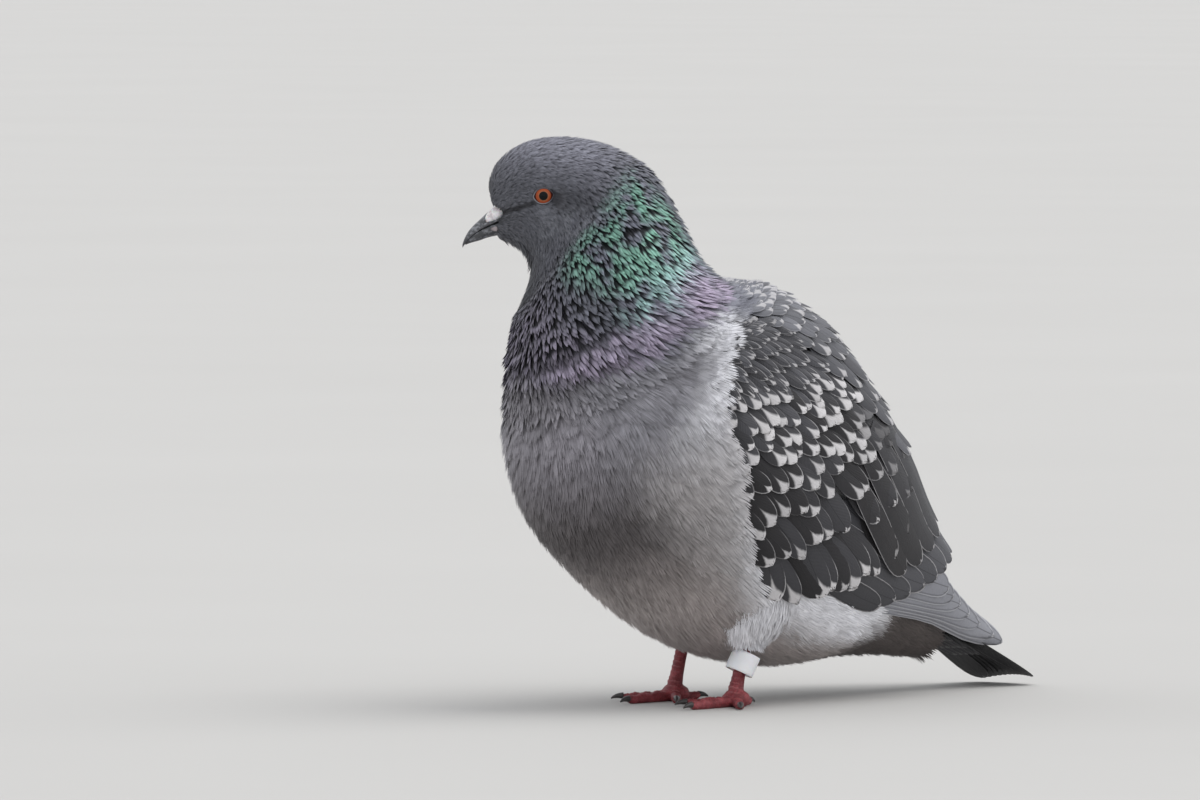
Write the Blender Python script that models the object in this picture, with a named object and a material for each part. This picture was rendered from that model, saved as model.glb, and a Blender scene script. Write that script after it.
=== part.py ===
"""A feral pigeon, life size, standing with its plumage fluffed out and its head turned to its right.

The bird faces -Y, its left side is +X and it stands on the plane Z = 0. The sizes below are measured
from the middle between its feet, and an empty there carries every piece: it stands forward of the
origin, so that the origin lies under the middle of the bird's length and width.
The body is one lofted form, parted by thin cuts into head, neck, trunk and rump. Each folded wing is a
shell on that form, cut into coverts, secondaries and primaries. Bill, cere, eyes, tail, legs, toes,
claws and the leg ring are pieces of their own.
"""

import math

import bmesh
import bpy
from mathutils import Matrix, Vector

MM = 0.001  # the sizes below are in millimetres
GAP = 0.3  # clearance between pieces that touch

FEET_FORWARD = 41.6  # from the origin to the middle between the feet

# Stance
NECK_Y = -38.0  # the upright axis on which the neck turns
HEAD_TURN = math.radians(45)  # towards the bird's right

# Body stations from face to tail root: share of the head's turn, back line (forward, height),
# belly line (forward, height), half width. Forward is measured from the neck's axis.
BODY = (
    (1.0, 48.4, 184.3, 48.4, 173.4, 3.8),  # feather edge round the bill
    (1.0, 49.2, 189.8, 45.5, 170.2, 6.2),  # forehead
    (1.0, 46.2, 197.4, 40.0, 167.6, 8.2),
    (1.0, 38.3, 204.0, 36.2, 165.0, 10.2),
    (1.0, 26.9, 207.0, 34.0, 160.0, 12.7),  # eyes and crown
    (1.0, 12.4, 206.2, 34.6, 154.2, 16.2),
    (1.0, -2.0, 200.8, 37.4, 147.0, 21.0),  # nape
    (0.9, -12.0, 191.8, 40.2, 139.6, 27.5),
    (0.7, -20.5, 177.0, 42.0, 130.0, 33.0),  # neck
    (0.45, -28.0, 162.0, 43.6, 119.0, 38.5),
    (0.2, -40.0, 154.0, 44.8, 107.0, 43.5),  # crop
    (0.0, -60.0, 152.5, 45.2, 90.5, 47.5),  # shoulders and breast
    (0.0, -84.0, 140.0, 33.3, 64.0, 51.0),
    (0.0, -104.0, 119.0, 3.0, 39.0, 52.5),  # widest
    (0.0, -122.0, 97.0, -31.0, 20.5, 49.0),
    (0.0, -136.5, 77.0, -70.0, 12.5, 39.0),  # thighs
    (0.0, -145.0, 58.0, -103.0, 14.5, 28.0),  # vent
    (0.0, -153.0, 43.0, -131.0, 17.0, 18.5),
    (0.0, -162.0, 32.0, -153.0, 16.5, 11.5),  # under tail coverts
)
# The pieces of the body, the station at which each ends, and its colour
BODY_PIECES = (
    ("head", 7.4, "head_plumage"),
    ("neck", 10.0, "head_plumage"),
    ("trunk", 15.0, "body_plumage"),
    ("rump", 18.0, "body_plumage"),
)
PART_CUT = 0.02  # half the cut between two of them, in stations
SQUARE_FROM, SQUARE_FULL = 8.0, 11.0  # stations over which the back grows squarer than an ellipse
ROUND, SQUARE = 2.0, 2.45  # superellipse exponents

# The form that the folded wings lie on: the body's own stations from the shoulder to the thigh,
# then these out to the wing tips.
WING_TAIL = (
    (0.0, -148.5, 60.5, -107.0, 14.0, 32.0),
    (0.0, -159.5, 48.5, -134.0, 15.5, 25.5),
    (0.0, -172.5, 36.0, -161.0, 13.0, 18.5),
    (0.0, -189.5, 23.5, -187.5, 11.0, 11.0),
)
WING_FIRST = 16  # the number of the first of them
# Each wing part: rows of station, upper and lower edge in degrees from the back line, and thickness.
WING_PARTS = {
    "coverts": (
        (10.12, 27.0, 62.0, 2.6),
        (10.45, 20.0, 78.0, 4.0),
        (10.85, 15.5, 89.0, 5.5),
        (11.3, 12.5, 98.0, 6.5),
        (12.0, 11.0, 103.0, 7.0),
        (12.9, 9.0, 118.0, 7.0),
        (13.5, 8.5, 124.0, 6.5),
        (14.1, 8.0, 113.0, 5.0),
        (14.62, 8.0, 107.0, 3.4),
    ),
    "secondaries": (
        (14.65, 8.0, 60.0, 3.4),
        (15.2, 9.0, 62.0, 2.6),
        (15.8, 16.0, 62.0, 2.0),
        (16.25, 34.0, 58.0, 1.6),
    ),
    "primaries": (
        (14.65, 60.8, 107.0, 3.4),
        (15.2, 62.8, 106.0, 2.8),
        (15.8, 62.8, 105.0, 2.2),
        (16.5, 56.0, 105.0, 1.8),
        (17.4, 58.0, 106.0, 1.4),
        (18.3, 66.0, 105.0, 1.1),
        (19.0, 86.0, 98.0, 0.9),
    ),
}

# Bill: stations of upper and lower mandible as forward, top height, bottom height, half width.
UPPER_BILL = (
    (40.0, 181.0, 175.4, 3.9),
    (45.0, 181.6, 174.2, 4.0),
    (48.5, 179.0, 172.6, 3.4),
    (52.0, 176.0, 171.0, 2.7),
    (55.0, 173.9, 169.6, 2.2),
    (57.2, 171.2, 168.2, 1.5),
    (58.4, 168.4, 166.6, 0.6),
)
LOWER_BILL = (
    (40.0, 175.0, 170.6, 3.8),
    (45.0, 173.7, 170.0, 3.7),
    (48.5, 172.2, 169.1, 3.1),
    (52.0, 170.6, 168.0, 2.3),
    (54.6, 169.5, 167.6, 1.6),
    (56.2, 168.4, 167.3, 0.7),
)
BILL_ROOT = (50.4, 176.9)  # middle of the hollow in the face from which the bill grows
BILL_ROOT_SIZE = (15.0, 9.2, 5.6)  # its half width, half length and half height
BILL_SLOPE = math.radians(28)
CERE = (46.2, 182.0)  # middle of the pale swelling over the nostrils, forward and height
CERE_SIZE = (4.2, 4.4, 2.5)  # half width, half length and half height
CERE_SLOPE = math.radians(40)

EYE = (29.1, 185.9)  # forward, height
EYE_RADIUS = 4.7
EYE_SIDE = 8.8  # from the head's middle to the ball's centre
EYE_SINK = 0.4  # from the ball's outermost point in to the middle of the hollow
EYE_HOLLOW = (1.6, 4.3, 3.9)  # half depth, half length and half height of the hollow round the eye

# Tail
TAIL_ROOT = (116.0, 30.5)  # Y and Z of the middle of its root
TAIL_TIP = (167.0, 4.6)
TAIL_HALF_WIDTHS = (8.5, 12.5)
TAIL_THICKNESS = (4.0, 1.2)
TAIL_ARCH = 1.6
TAIL_TIP_ROUND = 5.0
TAIL_ROLL = 0.17  # rise of the left edge over the middle, per width

# Legs
FEET = {"left": (19.5, 0.0), "right": (-19.5, 8.0)}
HOCK_LEAN = {"left": (1.0, 7.0), "right": (-1.0, 9.0)}  # how far the hock lies out and back of the foot
FOOT_HEADING = {"left": 6.0, "right": -4.0}  # degrees, outwards
ANKLE_HEIGHT = 6.7
TARSUS_TOP = 34.0
TARSUS_RADIUS = 2.3
# Along the tarsus: share of its height, and its width against the radius
TARSUS_SHAPE = ((0.0, 1.15), (0.12, 1.05), (0.3, 1.0), (0.55, 1.0), (0.8, 1.1), (1.0, 1.25))
PAD_SIZE, PAD_MIDDLE = (5.3, 5.3, 3.6), 2.7  # the ball of the foot: half sizes and height of its middle
# Toes: angle from straight ahead (inwards positive), length to the claw, radius, number of pads
TOES = ((168.0, 10.5, 1.9, 1), (42.0, 18.0, 2.0, 2), (0.0, 26.0, 2.15, 3), (-43.0, 19.0, 1.95, 4))
TOE_START = 6.0
TOE_SWELL, TOE_TAPER, TOE_BASE = 0.09, 0.22, 0.84  # of the pads, to the claw, and at the foot
TOE_SINK = 0.86  # height of a toe's middle, as a share of its radius, before the sole is cut flat
CLAW_BEND = (math.radians(-10), math.radians(52))
CLAW_ARC, CLAW_FLATNESS, CLAW_RISE = 4.7, 0.58, 1.9
CLAW_RADII = (1.15, 0.26)  # what tapers away, and what is left at the tip
CLAW_STEPS = 5
THIGH_MEETS = (12.0, 16.5)  # the body's stations against which the thighs are cut
THIGH_HEIGHTS = (44.0, 34.0, 26.5, 20.6)
THIGH_RADII = (11.0, 13.5, 10.5, 6.4)

RING_RADIUS, RING_WALL, RING_HEIGHT, RING_MIDDLE = 5.3, 0.7, 7.6, 15.8

RING_HANG = (-0.9, -1.2, 0)  # how far the loose band hangs to one side

RING_POINTS = 24  # round the body
BODY_STEP = 0.5  # between rings, in stations
WING_COLUMNS, WING_STEP = 6, 0.36
ROOM_STATIONS, ROOM_ANGLE, ROOM_OUTWARDS = 0.05, 1.0, 8.0  # how far a wing's recess goes past it

COLOURS = {
    "head_plumage": ((0.055, 0.06, 0.075), 0.75),
    "body_plumage": ((0.12, 0.12, 0.13), 0.8),
    "flight_feathers": ((0.045, 0.045, 0.05), 0.7),
    "horn": ((0.02, 0.02, 0.022), 0.35),
    "cere": ((0.6, 0.57, 0.55), 0.6),
    "eye": ((0.6, 0.16, 0.02), 0.1),
    "leg_skin": ((0.32, 0.05, 0.06), 0.5),
    "ring": ((0.8, 0.8, 0.82), 0.4),
}


def clear_scene():
    for obj in list(bpy.data.objects):
        bpy.data.objects.remove(obj, do_unlink=True)


def new_collection(name):
    made = bpy.data.collections.new(name)
    bpy.context.scene.collection.children.link(made)
    return made


def material(name):
    found = bpy.data.materials.get(name)
    if found:
        return found
    colour, roughness = COLOURS[name]
    made = bpy.data.materials.new(name)
    made.use_nodes = True
    shader = made.node_tree.nodes["Principled BSDF"]
    shader.inputs["Base Color"].default_value = (*colour, 1.0)
    shader.inputs["Roughness"].default_value = roughness
    shader.inputs["Metallic"].default_value = 0.0
    return made


def add_object(name, mesh, colour, collection):
    obj = bpy.data.objects.new(name, mesh)
    obj.parent = bpy.data.objects["stand"]
    obj.data.materials.append(material(colour))
    mesh.shade_smooth()
    mesh.set_sharp_from_angle(angle=math.radians(40))
    collection.objects.link(obj)
    return obj


def as_cutter(obj, collection):
    for holder in list(obj.users_collection):
        holder.objects.unlink(obj)
    collection.objects.link(obj)
    obj.hide_render = True
    obj.display_type = "WIRE"
    return obj


def subtract(obj, cutter):
    cut = obj.modifiers.new("less_" + cutter.name, "BOOLEAN")
    cut.operation = "DIFFERENCE"
    cut.solver = "EXACT"
    cut.object = cutter


def smooth_row(rows, at):
    """The row at station `at` on a Catmull-Rom curve through all rows."""
    last = len(rows) - 1
    at = min(max(at, 0.0), float(last))
    i = min(int(at), last - 1)
    f = at - i
    before, here, there, after = (rows[min(max(i + k, 0), last)] for k in (-1, 0, 1, 2))
    return [
        0.5
        * (
            2 * b
            + (c - a) * f
            + (2 * a - 5 * b + 4 * c - d) * f * f
            + (3 * b - a - 3 * c + d) * f**3
        )
        for a, b, c, d in zip(before, here, there, after)
    ]


def turned(forward, side, height, turn):
    """A point given from the neck's axis, with the frame turned towards the bird's right."""
    heading = HEAD_TURN * turn
    ahead = Vector((-math.sin(heading), -math.cos(heading), 0))
    left = Vector((math.cos(heading), -math.sin(heading), 0))
    return Vector((0, NECK_Y, 0)) + ahead * forward + left * side + Vector((0, 0, height))


def surface_point(rows, at, angle, offset=0.0):
    """A point of a lofted form: `angle` runs from the back line over the bird's left side."""
    turn, back_f, back_h, belly_f, belly_h, half_width = smooth_row(rows, at)
    back = turned(back_f, 0, back_h, turn)
    belly = turned(belly_f, 0, belly_h, turn)
    side = turned(0, 1, 0, turn) - turned(0, 0, 0, turn)
    half = (back - belly) / 2
    reach = 1 + offset / half.length
    wide = half_width + offset
    squareness = min(max((at - SQUARE_FROM) / (SQUARE_FULL - SQUARE_FROM), 0), 1) * (math.cos(angle) > 0)
    power = ROUND + (SQUARE - ROUND) * squareness
    full = (abs(math.cos(angle)) ** power + abs(math.sin(angle)) ** power) ** (-1 / power)
    return (back + belly) / 2 + (half * reach * math.cos(angle) + side * wide * math.sin(angle)) * full


def mesh_of(name, points, faces):
    """A mesh with outward faces. Four-sided ones are parted alike everywhere, so copies fit each other."""
    parted = []
    for face in faces:
        if len(face) == 4:
            a, b, c, d = face
            parted += [(a, b, c), (a, c, d)]
        else:
            parted.append(face)
    mesh = bpy.data.meshes.new(name)
    mesh.from_pydata([p * MM for p in points], [], parted)
    made = bmesh.new()
    made.from_mesh(mesh)
    bmesh.ops.recalc_face_normals(made, faces=made.faces)
    made.to_mesh(mesh)
    made.free()
    return mesh


def tube_faces(rings, around):
    """Quads between rings of `around` points each, and a flat face on each end."""
    faces = [
        (
            r * around + k,
            r * around + (k + 1) % around,
            (r + 1) * around + (k + 1) % around,
            (r + 1) * around + k,
        )
        for r in range(rings - 1)
        for k in range(around)
    ]
    faces.append(tuple(range(around)))
    faces.append(tuple((rings - 1) * around + k for k in range(around)))
    return faces


def loft(name, rows, start, end, offset=0.0):
    """The lofted form between two stations, with flat ends. An offset grows its sides."""
    count = max(3, round((end - start) / BODY_STEP) + 1)
    stations = [start + (end - start) * i / (count - 1) for i in range(count)]
    points = [
        surface_point(rows, at, 2 * math.pi * k / RING_POINTS, offset)
        for at in stations
        for k in range(RING_POINTS)
    ]
    return mesh_of(name, points, tube_faces(count, RING_POINTS))


def grid_shell(name, outer, inner):
    """A closed shell between two grids of points with the same shape."""
    rows, columns = len(outer), len(outer[0])
    points = [p for row in outer for p in row] + [p for row in inner for p in row]
    half = rows * columns

    def at(r, c, layer):
        return layer * half + r * columns + c

    faces = []
    for r in range(rows - 1):
        for c in range(columns - 1):
            for layer in (0, 1):
                faces.append(
                    (at(r, c, layer), at(r, c + 1, layer), at(r + 1, c + 1, layer), at(r + 1, c, layer))
                )
    for r in range(rows - 1):
        for c in (0, columns - 1):
            faces.append((at(r, c, 0), at(r + 1, c, 0), at(r + 1, c, 1), at(r, c, 1)))
    for c in range(columns - 1):
        for r in (0, rows - 1):
            faces.append((at(r, c, 0), at(r, c + 1, 0), at(r, c + 1, 1), at(r, c, 1)))
    return mesh_of(name, points, faces)


def wing_shell(name, rows, side, room=False):
    """One part of a folded wing, a shell under the wing's form, or the cutter that makes room for it."""
    form = BODY[:WING_FIRST] + WING_TAIL
    first, last = rows[0][0], rows[-1][0]
    count = max(4, round((last - first) / WING_STEP) + 1)
    outer, inner = [], []
    for i in range(count):
        at = first + (last - first) * i / (count - 1)
        k = max(j for j in range(len(rows) - 1) if rows[j][0] <= at + 1e-9)
        f = (at - rows[k][0]) / (rows[k + 1][0] - rows[k][0])
        upper, lower, thick = (a + (b - a) * f for a, b in zip(rows[k][1:], rows[k + 1][1:]))
        outwards = 0.0
        if room:
            at += ROOM_STATIONS * ((i == count - 1) - (i == 0))
            upper, lower, thick, outwards = upper - ROOM_ANGLE, lower + ROOM_ANGLE, thick + GAP, ROOM_OUTWARDS
        columns = [upper + (lower - upper) * c / (WING_COLUMNS - 1) for c in range(WING_COLUMNS)]
        outer.append([surface_point(form, at, math.radians(a) * side, outwards) for a in columns])
        inner.append([surface_point(form, at, math.radians(a) * side, -thick) for a in columns])
    return grid_shell(name, outer, inner)


def bill_part(name, rows, grow=0.0):
    """A mandible: rounded sections along the head's forward direction."""
    around, steps = 12, 2
    count = (len(rows) - 1) * steps + 1
    points = []
    for i in range(count):
        forward, top, bottom, half_width = smooth_row(rows, i / steps)
        forward -= grow * (i == 0)
        for k in range(around):
            a = 2 * math.pi * (k + 0.5) / around
            height = (top + bottom) / 2 + ((top - bottom) / 2 + grow) * math.cos(a)
            points.append(turned(forward, (half_width + grow) * math.sin(a), height, 1.0))
    return mesh_of(name, points, tube_faces(count, around))


def ball(name, centre, radii, rotation=None, detail=(12, 8)):
    made = bmesh.new()
    bmesh.ops.create_uvsphere(made, u_segments=detail[0], v_segments=detail[1], radius=1.0)
    frame = rotation or Matrix.Identity(3)
    shape = Matrix.Translation(centre * MM) @ frame.to_4x4() @ Matrix.Diagonal((*[r * MM for r in radii], 1))
    bmesh.ops.transform(made, matrix=shape, verts=made.verts)
    mesh = bpy.data.meshes.new(name)
    made.to_mesh(mesh)
    made.free()
    return mesh


def join_meshes(name, meshes):
    """The Boolean union of overlapping meshes as one mesh."""
    holder = bpy.data.objects.new(name, meshes[0])
    bpy.context.scene.collection.objects.link(holder)
    extras = []
    for mesh in meshes[1:]:
        extra = bpy.data.objects.new(name + "_extra", mesh)
        bpy.context.scene.collection.objects.link(extra)
        join = holder.modifiers.new("join", "BOOLEAN")
        join.operation = "UNION"
        join.object = extra
        extras.append(extra)
    graph = bpy.context.evaluated_depsgraph_get()
    made = bpy.data.meshes.new_from_object(holder.evaluated_get(graph))
    made.name = name
    for obj in (holder, *extras):
        bpy.data.objects.remove(obj)
    return made


def head_frame():
    """Columns are left, back and up of the turned head."""
    left = turned(0, 1, 0, 1.0) - turned(0, 0, 0, 1.0)
    ahead = turned(1, 0, 0, 1.0) - turned(0, 0, 0, 1.0)
    return Matrix((left, -ahead, Vector((0, 0, 1)))).transposed()


def cere_mesh(name, grow=0.0):
    """The soft swelling over the base of the upper mandible."""
    frame = head_frame() @ Matrix.Rotation(CERE_SLOPE, 3, "X")
    return ball(name, turned(CERE[0], 0, CERE[1], 1.0), [r + grow for r in CERE_SIZE], frame, (12, 8))


def rod(name, points, radii, sides=12, flat_floor=False):
    """A tapered tube along points, capped, and cut off level at the floor if it lies there."""
    rings = []
    for i, point in enumerate(points):
        ahead = (points[min(i + 1, len(points) - 1)] - points[max(i - 1, 0)]).normalized()
        across = ahead.cross(Vector((0, 0, 1)))
        if across.length < 1e-3:
            across = Vector((1, 0, 0))
        across.normalize()
        up = across.cross(ahead)
        for k in range(sides):
            a = 2 * math.pi * k / sides
            rings.append(point + (across * math.cos(a) + up * math.sin(a)) * radii[i])
    mesh = mesh_of(name, rings, tube_faces(len(points), sides))
    return floor_cut(mesh) if flat_floor else mesh


def floor_cut(mesh):
    """Everything under the floor is cut away and closed with a flat sole."""
    made = bmesh.new()
    made.from_mesh(mesh)
    parts = made.verts[:] + made.edges[:] + made.faces[:]
    cut = bmesh.ops.bisect_plane(
        made, geom=parts, plane_co=(0, 0, 0), plane_no=(0, 0, -1), clear_outer=True, dist=1e-7
    )
    edges = [e for e in cut["geom_cut"] if isinstance(e, bmesh.types.BMEdge)]
    bmesh.ops.contextual_create(made, geom=edges)
    bmesh.ops.recalc_face_normals(made, faces=made.faces)
    made.to_mesh(mesh)
    made.free()
    return mesh


def build_body(model):
    """Head, neck, trunk and rump, cut apart between stations."""
    pieces = {}
    start = 0.0
    for name, end, colour in BODY_PIECES:
        mesh = loft(name, BODY, start, end - PART_CUT)
        pieces[name] = add_object(name, mesh, colour, model)
        start = end + PART_CUT
    return pieces


def build_wings(body, model, cutters):
    """Each folded wing's three parts, set into recesses in the trunk and rump."""
    for side_name, side in (("left", 1), ("right", -1)):
        for part, rows in WING_PARTS.items():
            name = f"wing_{side_name}_{part}"
            add_object(name, wing_shell(name, rows, side), "flight_feathers", model)
            recess = wing_shell(name + "_recess", rows, side, room=True)
            cutter = as_cutter(add_object(name + "_recess", recess, "flight_feathers", cutters), cutters)
            for node in ("trunk", "rump"):
                subtract(body[node], cutter)


def build_tail(body, model, cutters):
    """The closed fan of tail feathers: arched across, thin and slightly rounded at its end."""
    steps, across = 6, 9
    for name, grow in (("tail", 0.0), ("tail_recess", GAP)):
        outer, inner = [], []
        for i in range(steps):
            f = i / (steps - 1)
            half = TAIL_HALF_WIDTHS[0] + (TAIL_HALF_WIDTHS[1] - TAIL_HALF_WIDTHS[0]) * f + grow
            thick = TAIL_THICKNESS[0] + (TAIL_THICKNESS[1] - TAIL_THICKNESS[0]) * f + 2 * grow
            upper, lower = [], []
            for c in range(across):
                s = 2 * c / (across - 1) - 1
                y = TAIL_ROOT[0] + (TAIL_TIP[0] - TAIL_ROOT[0]) * f - TAIL_TIP_ROUND * s * s * f
                z = TAIL_ROOT[1] + (TAIL_TIP[1] - TAIL_ROOT[1]) * f + TAIL_ARCH * (0.5 - s * s)
                z += TAIL_ROLL * half * s * f
                upper.append(Vector((half * s, y + grow * (2 * f - 1), z + thick / 2)))
                lower.append(Vector((half * s, y + grow * (2 * f - 1), z - thick / 2)))
            outer.append(upper)
            inner.append(lower)
        obj = add_object(name, grid_shell(name, outer, inner), "flight_feathers", model)
        if grow:
            as_cutter(obj, cutters)
            subtract(body["rump"], obj)


def build_head_details(body, model, cutters):
    frame = head_frame() @ Matrix.Rotation(BILL_SLOPE, 3, "X")
    root = ball("bill_root", turned(BILL_ROOT[0], 0, BILL_ROOT[1], 1.0), BILL_ROOT_SIZE, frame, (18, 10))
    subtract(body["head"], as_cutter(add_object("bill_root", root, "head_plumage", cutters), cutters))
    for name, rows in (("bill_upper", UPPER_BILL), ("bill_lower", LOWER_BILL)):
        add_object(name, bill_part(name, rows), "horn", model)
        room = add_object(name + "_room", bill_part(name + "_room", rows, GAP), "horn", cutters)
        subtract(body["head"], as_cutter(room, cutters))
    add_object("cere", cere_mesh("cere"), "cere", model)
    cere_room = as_cutter(add_object("cere_room", cere_mesh("cere_room", GAP), "cere", cutters), cutters)
    subtract(body["head"], cere_room)
    subtract(bpy.data.objects["bill_upper"], cere_room)
    for side_name, side in (("left", 1), ("right", -1)):
        centre = turned(EYE[0], side * EYE_SIDE, EYE[1], 1.0)
        name = f"eye_{side_name}"
        add_object(name, ball(name, centre, (EYE_RADIUS,) * 3), "eye", model)
        rim = turned(EYE[0], side * (EYE_SIDE + EYE_RADIUS - EYE_SINK), EYE[1], 1.0)
        room = join_meshes(
            name + "_socket",
            [ball(name, centre, (EYE_RADIUS + GAP,) * 3), ball(name, rim, EYE_HOLLOW, head_frame())],
        )
        subtract(body["head"], as_cutter(add_object(name + "_socket", room, "eye", cutters), cutters))


def foot_direction(side, side_name, degrees):
    """The level direction at an angle from the foot's heading, inwards positive."""
    a = math.radians(degrees - FOOT_HEADING[side_name])
    return Vector((-side * math.sin(a), -math.cos(a), 0))


def toe_mesh(name, foot, ahead, length, radius, pads):
    """A toe flat on the floor, swollen at each pad and slimmer towards the claw."""
    steps = 3 * pads + 2
    path, radii = [], []
    for i in range(steps):
        f = i / (steps - 1)
        knuckle = 1 + TOE_SWELL * math.cos(2 * math.pi * pads * f)
        r = radius * knuckle * (1 - TOE_TAPER * f) * min(1.0, TOE_BASE + f)
        path.append(foot + ahead * (TOE_START + (length - TOE_START) * f) + Vector((0, 0, r * TOE_SINK)))
        radii.append(r)
    return rod(name, path, radii, 7, flat_floor=True)


def claw_mesh(name, foot, ahead, length):
    """A claw that arches out of the toe's end and down to the floor."""
    path, radii = [], []
    for i in range(CLAW_STEPS):
        f = i / (CLAW_STEPS - 1)
        bend = CLAW_BEND[0] + (CLAW_BEND[1] - CLAW_BEND[0]) * f
        out = length + GAP + CLAW_ARC * (math.sin(bend) - math.sin(CLAW_BEND[0]))
        rise = CLAW_RISE + CLAW_ARC * (math.cos(bend) - 1) * CLAW_FLATNESS
        path.append(foot + ahead * out + Vector((0, 0, rise)))
        radii.append(CLAW_RADII[0] * (1 - f) ** 0.7 + CLAW_RADII[1])
    return rod(name, path, radii, 6, flat_floor=True)


def build_leg(side_name, side, body, model, cutters):
    prefix = f"leg_{side_name}_"
    foot = Vector((*FEET[side_name], 0))
    lean = Vector((*HOCK_LEAN[side_name], 0))
    ankle = foot + Vector((0, 0, ANKLE_HEIGHT))
    hock = foot + lean + Vector((0, 0, TARSUS_TOP))

    pad = ball(prefix + "foot", foot + Vector((0, 0, PAD_MIDDLE)), PAD_SIZE)
    add_object(prefix + "foot", floor_cut(pad), "leg_skin", model)

    shaft = [ankle.lerp(hock, f) for f, _ in TARSUS_SHAPE]
    widths = [TARSUS_RADIUS * width for _, width in TARSUS_SHAPE]
    add_object(prefix + "tarsus", rod(prefix + "tarsus", shaft, widths), "leg_skin", model)
    wide = [w + GAP for w in widths]
    room = rod(prefix + "tarsus_room", [*shaft[:-1], hock + (hock - ankle).normalized() * GAP], wide)
    tarsus_room = as_cutter(add_object(prefix + "tarsus_room", room, "leg_skin", cutters), cutters)

    for number, (angle, length, radius, pads) in enumerate(TOES, 1):
        ahead = foot_direction(side, side_name, angle)
        toe = toe_mesh(f"{prefix}toe_{number}", foot, ahead, length, radius, pads)
        add_object(toe.name, toe, "leg_skin", model)
        claw = claw_mesh(f"{prefix}claw_{number}", foot, ahead, length)
        add_object(claw.name, claw, "horn", model)

    share = [(h - ANKLE_HEIGHT) / (TARSUS_TOP - ANKLE_HEIGHT) for h in THIGH_HEIGHTS]
    line = [ankle.lerp(hock, s) for s in share]
    thigh = rod(prefix + "thigh", line, THIGH_RADII, 14)
    obj = add_object(prefix + "thigh", thigh, "body_plumage", model)
    subtract(obj, tarsus_room)
    belly = loft(prefix + "belly", BODY, *THIGH_MEETS, GAP)
    subtract(obj, as_cutter(add_object(belly.name, belly, "body_plumage", cutters), cutters))
    for node in ("trunk", "rump"):
        subtract(body[node], tarsus_room)
    return ankle, hock


def build_ring(ankle, hock, model):
    """A closed band, loose round the tarsus of the left leg."""
    axis = (hock - ankle).normalized()
    middle = ankle + axis * ((RING_MIDDLE - ANKLE_HEIGHT) / axis.z) + Vector(RING_HANG)
    profile = ((RING_RADIUS, 1), (RING_RADIUS, -1), (RING_RADIUS - RING_WALL, -1), (RING_RADIUS - RING_WALL, 1))
    around = 18
    tilt = Vector((0, 0, 1)).rotation_difference(axis)
    points = []
    for k in range(around):
        a = 2 * math.pi * k / around
        for radius, end in profile:
            spot = Vector((radius * math.cos(a), radius * math.sin(a), end * RING_HEIGHT / 2))
            points.append(middle + tilt @ spot)
    faces = [
        (4 * k + j, 4 * k + (j + 1) % 4, 4 * ((k + 1) % around) + (j + 1) % 4, 4 * ((k + 1) % around) + j)
        for k in range(around)
        for j in range(4)
    ]
    add_object("leg_left_ring", mesh_of("leg_left_ring", points, faces), "ring", model)


def main():
    clear_scene()
    model = new_collection("pigeon")
    cutters = new_collection("cutters")
    stand = bpy.data.objects.new("stand", None)
    stand.location = (0, -FEET_FORWARD * MM, 0)
    model.objects.link(stand)
    body = build_body(model)
    build_wings(body, model, cutters)
    build_tail(body, model, cutters)
    build_head_details(body, model, cutters)
    for side_name, side in (("left", 1), ("right", -1)):
        ankle, hock = build_leg(side_name, side, body, model, cutters)
        if side_name == "left":
            build_ring(ankle, hock, model)


main()
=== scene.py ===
import math

import bmesh
import bpy
import numpy as np
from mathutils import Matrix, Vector, kdtree


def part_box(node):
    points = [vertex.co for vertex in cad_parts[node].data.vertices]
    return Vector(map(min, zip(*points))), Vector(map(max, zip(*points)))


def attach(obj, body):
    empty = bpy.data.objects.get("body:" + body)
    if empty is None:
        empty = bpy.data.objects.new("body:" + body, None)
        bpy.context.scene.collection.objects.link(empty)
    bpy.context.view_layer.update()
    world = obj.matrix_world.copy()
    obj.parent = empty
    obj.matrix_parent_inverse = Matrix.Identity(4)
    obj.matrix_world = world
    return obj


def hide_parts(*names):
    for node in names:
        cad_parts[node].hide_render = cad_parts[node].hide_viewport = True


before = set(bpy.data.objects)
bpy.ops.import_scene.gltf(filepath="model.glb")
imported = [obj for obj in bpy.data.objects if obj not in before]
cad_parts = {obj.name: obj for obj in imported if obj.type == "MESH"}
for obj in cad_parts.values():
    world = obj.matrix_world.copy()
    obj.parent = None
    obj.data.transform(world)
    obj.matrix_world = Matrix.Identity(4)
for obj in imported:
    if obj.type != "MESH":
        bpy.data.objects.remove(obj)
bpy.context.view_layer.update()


# ---- Floor, light and camera -----------------------------------------------------------------
# A wide pale floor under one large soft lamp and a weak fill, as in a museum's copy room.
# The camera stands low in front of the bird's left side, level with its back.

class Wire:
    """One output of a material's nodes. Arithmetic with wires and numbers adds Math nodes."""

    def __init__(self, finish, socket):
        self.finish = finish
        self.socket = socket

    def math(self, operation, *values):
        return self.finish.add("ShaderNodeMath", {"operation": operation}, values)

    def __add__(self, other):
        return self.math("ADD", self, other)

    def __radd__(self, other):
        return self.math("ADD", other, self)

    def __sub__(self, other):
        return self.math("SUBTRACT", self, other)

    def __rsub__(self, other):
        return self.math("SUBTRACT", other, self)

    def __mul__(self, other):
        return self.math("MULTIPLY", self, other)

    def __rmul__(self, other):
        return self.math("MULTIPLY", other, self)

    def __truediv__(self, other):
        return self.math("DIVIDE", self, other)

    def size(self):
        return self.math("ABSOLUTE", self)

    def sine(self):
        return self.math("SINE", self)

    def or_more(self, other):
        return self.math("MAXIMUM", self, other)


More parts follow.
